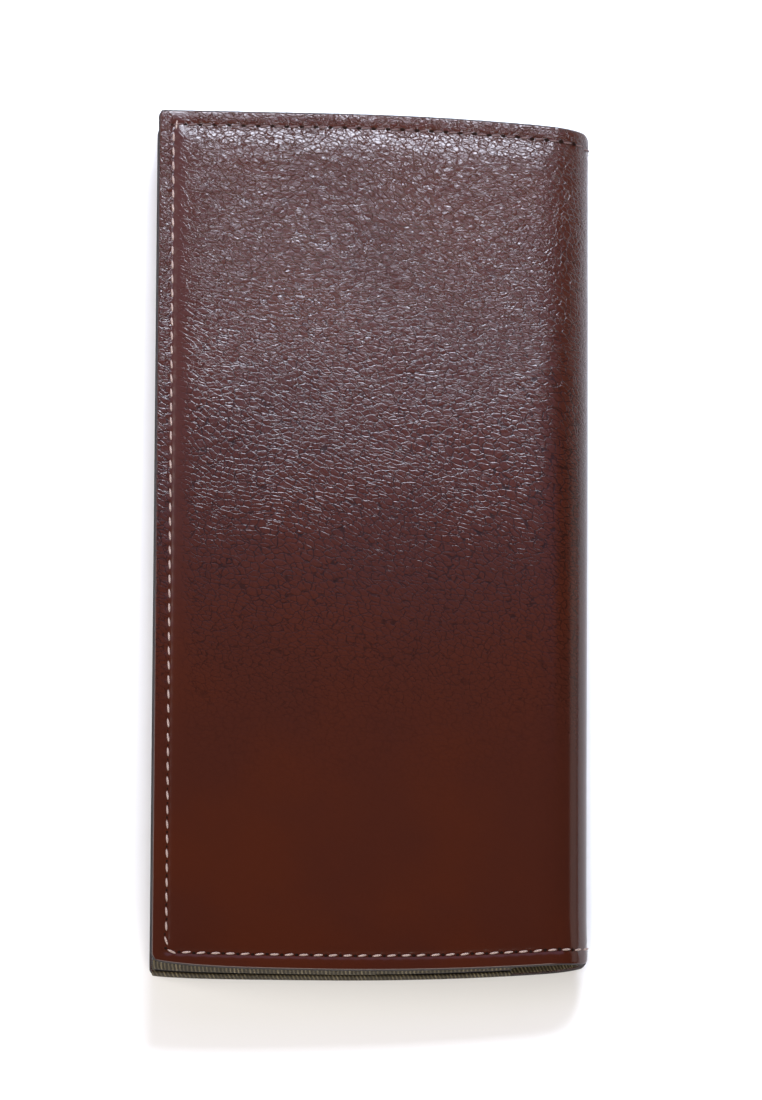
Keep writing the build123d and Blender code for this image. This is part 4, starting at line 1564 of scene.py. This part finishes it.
# %% The pull
pull_low, pull_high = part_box("zip_pull")
pull_half, pull_middle = (pull_high - pull_low) / 2, (pull_low + pull_high) / 2
EYE_HALF_X, EYE_HALF_Y, EYE_MARGIN = 1.6 * MM, 1.5 * MM, 0.7 * MM
pull_outline = rounded_outline(pull_half.x, pull_half.y, 1.5 * MM, taper=0.92)
pull_outline = moved(pull_outline, zip_middle, pull_middle.y)
eye = rounded_outline(EYE_HALF_X, EYE_HALF_Y, 0.5 * MM)
eye = moved(eye, zip_middle, pull_high.y - EYE_MARGIN - EYE_HALF_Y)
tail_hole = rounded_outline(1.0 * MM, 1.9 * MM, 0.95 * MM)
tail_hole = moved(tail_hole, zip_middle, pull_low.y + 3.6 * MM)
pull = cast_plate("zip_pull_plate", pull_outline, pull_low.z, pull_high.z, 0.18 * MM,
                  holes=(eye, tail_hole))
set_metal(pull, "zip_pull", "zip_pull")

# %% [markdown]
# ## Table, lights and camera
#
# The wallet lies on a plain white table and is seen from almost straight above through a long lens,
# from a little past its lower end. A small bright window stands low beyond the far end, so that it
# glints on the grain of the upper part of the cover. A large dim panel below it stands in for a pale
# wall, whose cool sheen fades down the cover. Wide panels at the left, the near end and the right
# light the table and the edges, from where they don't show in the leather.


# %% Table and lights
FLOOR = 3.0
WALLET_FRONT = (0, -0.08, 0)


def soft_box(name, place, aim, size, power, color):
    """A flat lamp that lights the scene and isn't seen itself."""
    light = bpy.data.lights.new(name, "AREA")
    light.shape, light.size, light.size_y = "RECTANGLE", size[0], size[1]
    light.energy, light.color = power, color
    holder = bpy.data.objects.new(name, light)
    holder.location = place
    holder.rotation_mode = "QUATERNION"
    holder.rotation_quaternion = (Vector(aim) - Vector(place)).to_track_quat("-Z", "Y")
    holder.visible_camera = False
    bpy.context.scene.collection.objects.link(holder)


floor_mesh = bpy.data.meshes.new("table")
corners = [(-FLOOR, -FLOOR, 0), (FLOOR, -FLOOR, 0), (FLOOR, FLOOR, 0), (-FLOOR, FLOOR, 0)]
floor_mesh.from_pydata(corners, [], [(0, 1, 2, 3)])
floor = bpy.data.objects.new("table", floor_mesh)
bpy.context.scene.collection.objects.link(floor)
floor_finish = Finish("white table", Base_Color=(0.9, 0.9, 0.9, 1), Roughness=0.9, IOR=1.3)
floor_mesh.materials.append(floor_finish.material)

soft_box("window", (0.062, 0.390, 0.46), aim=(0.062, 0.26, 0), size=(0.26, 0.20),
         power=6.4, color=(0.80, 0.86, 1.0))
soft_box("pale wall", (0.020, 0.265, 0.47), aim=(0.020, 0.22, 0), size=(0.80, 0.34),
         power=0.66, color=(0.62, 0.58, 1.0))
soft_box("left panel", (-1.1, -0.2, 1.0), aim=WALLET_FRONT, size=(1.0, 1.0),
         power=16, color=(1.0, 0.96, 0.93))
soft_box("near panel", (0.1, -1.2, 0.95), aim=WALLET_FRONT, size=(1.0, 1.0),
         power=17, color=(1.0, 0.95, 0.88))
soft_box("right panel", (1.5, 0.2, 0.35), aim=(0, 0, 0), size=(1.0, 0.5),
         power=1.2, color=(1.0, 0.98, 0.96))

world = bpy.data.worlds.new("room")
world.use_nodes = True
room_light = world.node_tree.nodes["Background"].inputs
room_light["Color"].default_value = (1, 1, 1, 1)
room_light["Strength"].default_value = 0.045
bpy.context.scene.world = world
bpy.context.scene.view_settings.view_transform = "Standard"
print("lights", len(bpy.data.lights))

# %% Camera
CAMERA_PLACE = (-0.060, -0.3702, 2.0)
CAMERA_TILT, CAMERA_SIDE, CAMERA_ROLL = 10.505, -1.759, 0.63
LENS, SENSOR = 303.2, 36
camera_data = bpy.data.cameras.new("camera")
camera_data.lens, camera_data.sensor_width = LENS, SENSOR
camera = bpy.data.objects.new("camera", camera_data)
turns = [Matrix.Rotation(math.radians(angle), 4, axis)
         for angle, axis in ((CAMERA_TILT, "X"), (CAMERA_SIDE, "Y"), (CAMERA_ROLL, "Z"))]
camera.matrix_world = Matrix.Translation(CAMERA_PLACE) @ turns[0] @ turns[1] @ turns[2]
bpy.context.scene.collection.objects.link(camera)
bpy.context.scene.camera = camera
print("camera", CAMERA_PLACE, "lens", LENS, "mm")
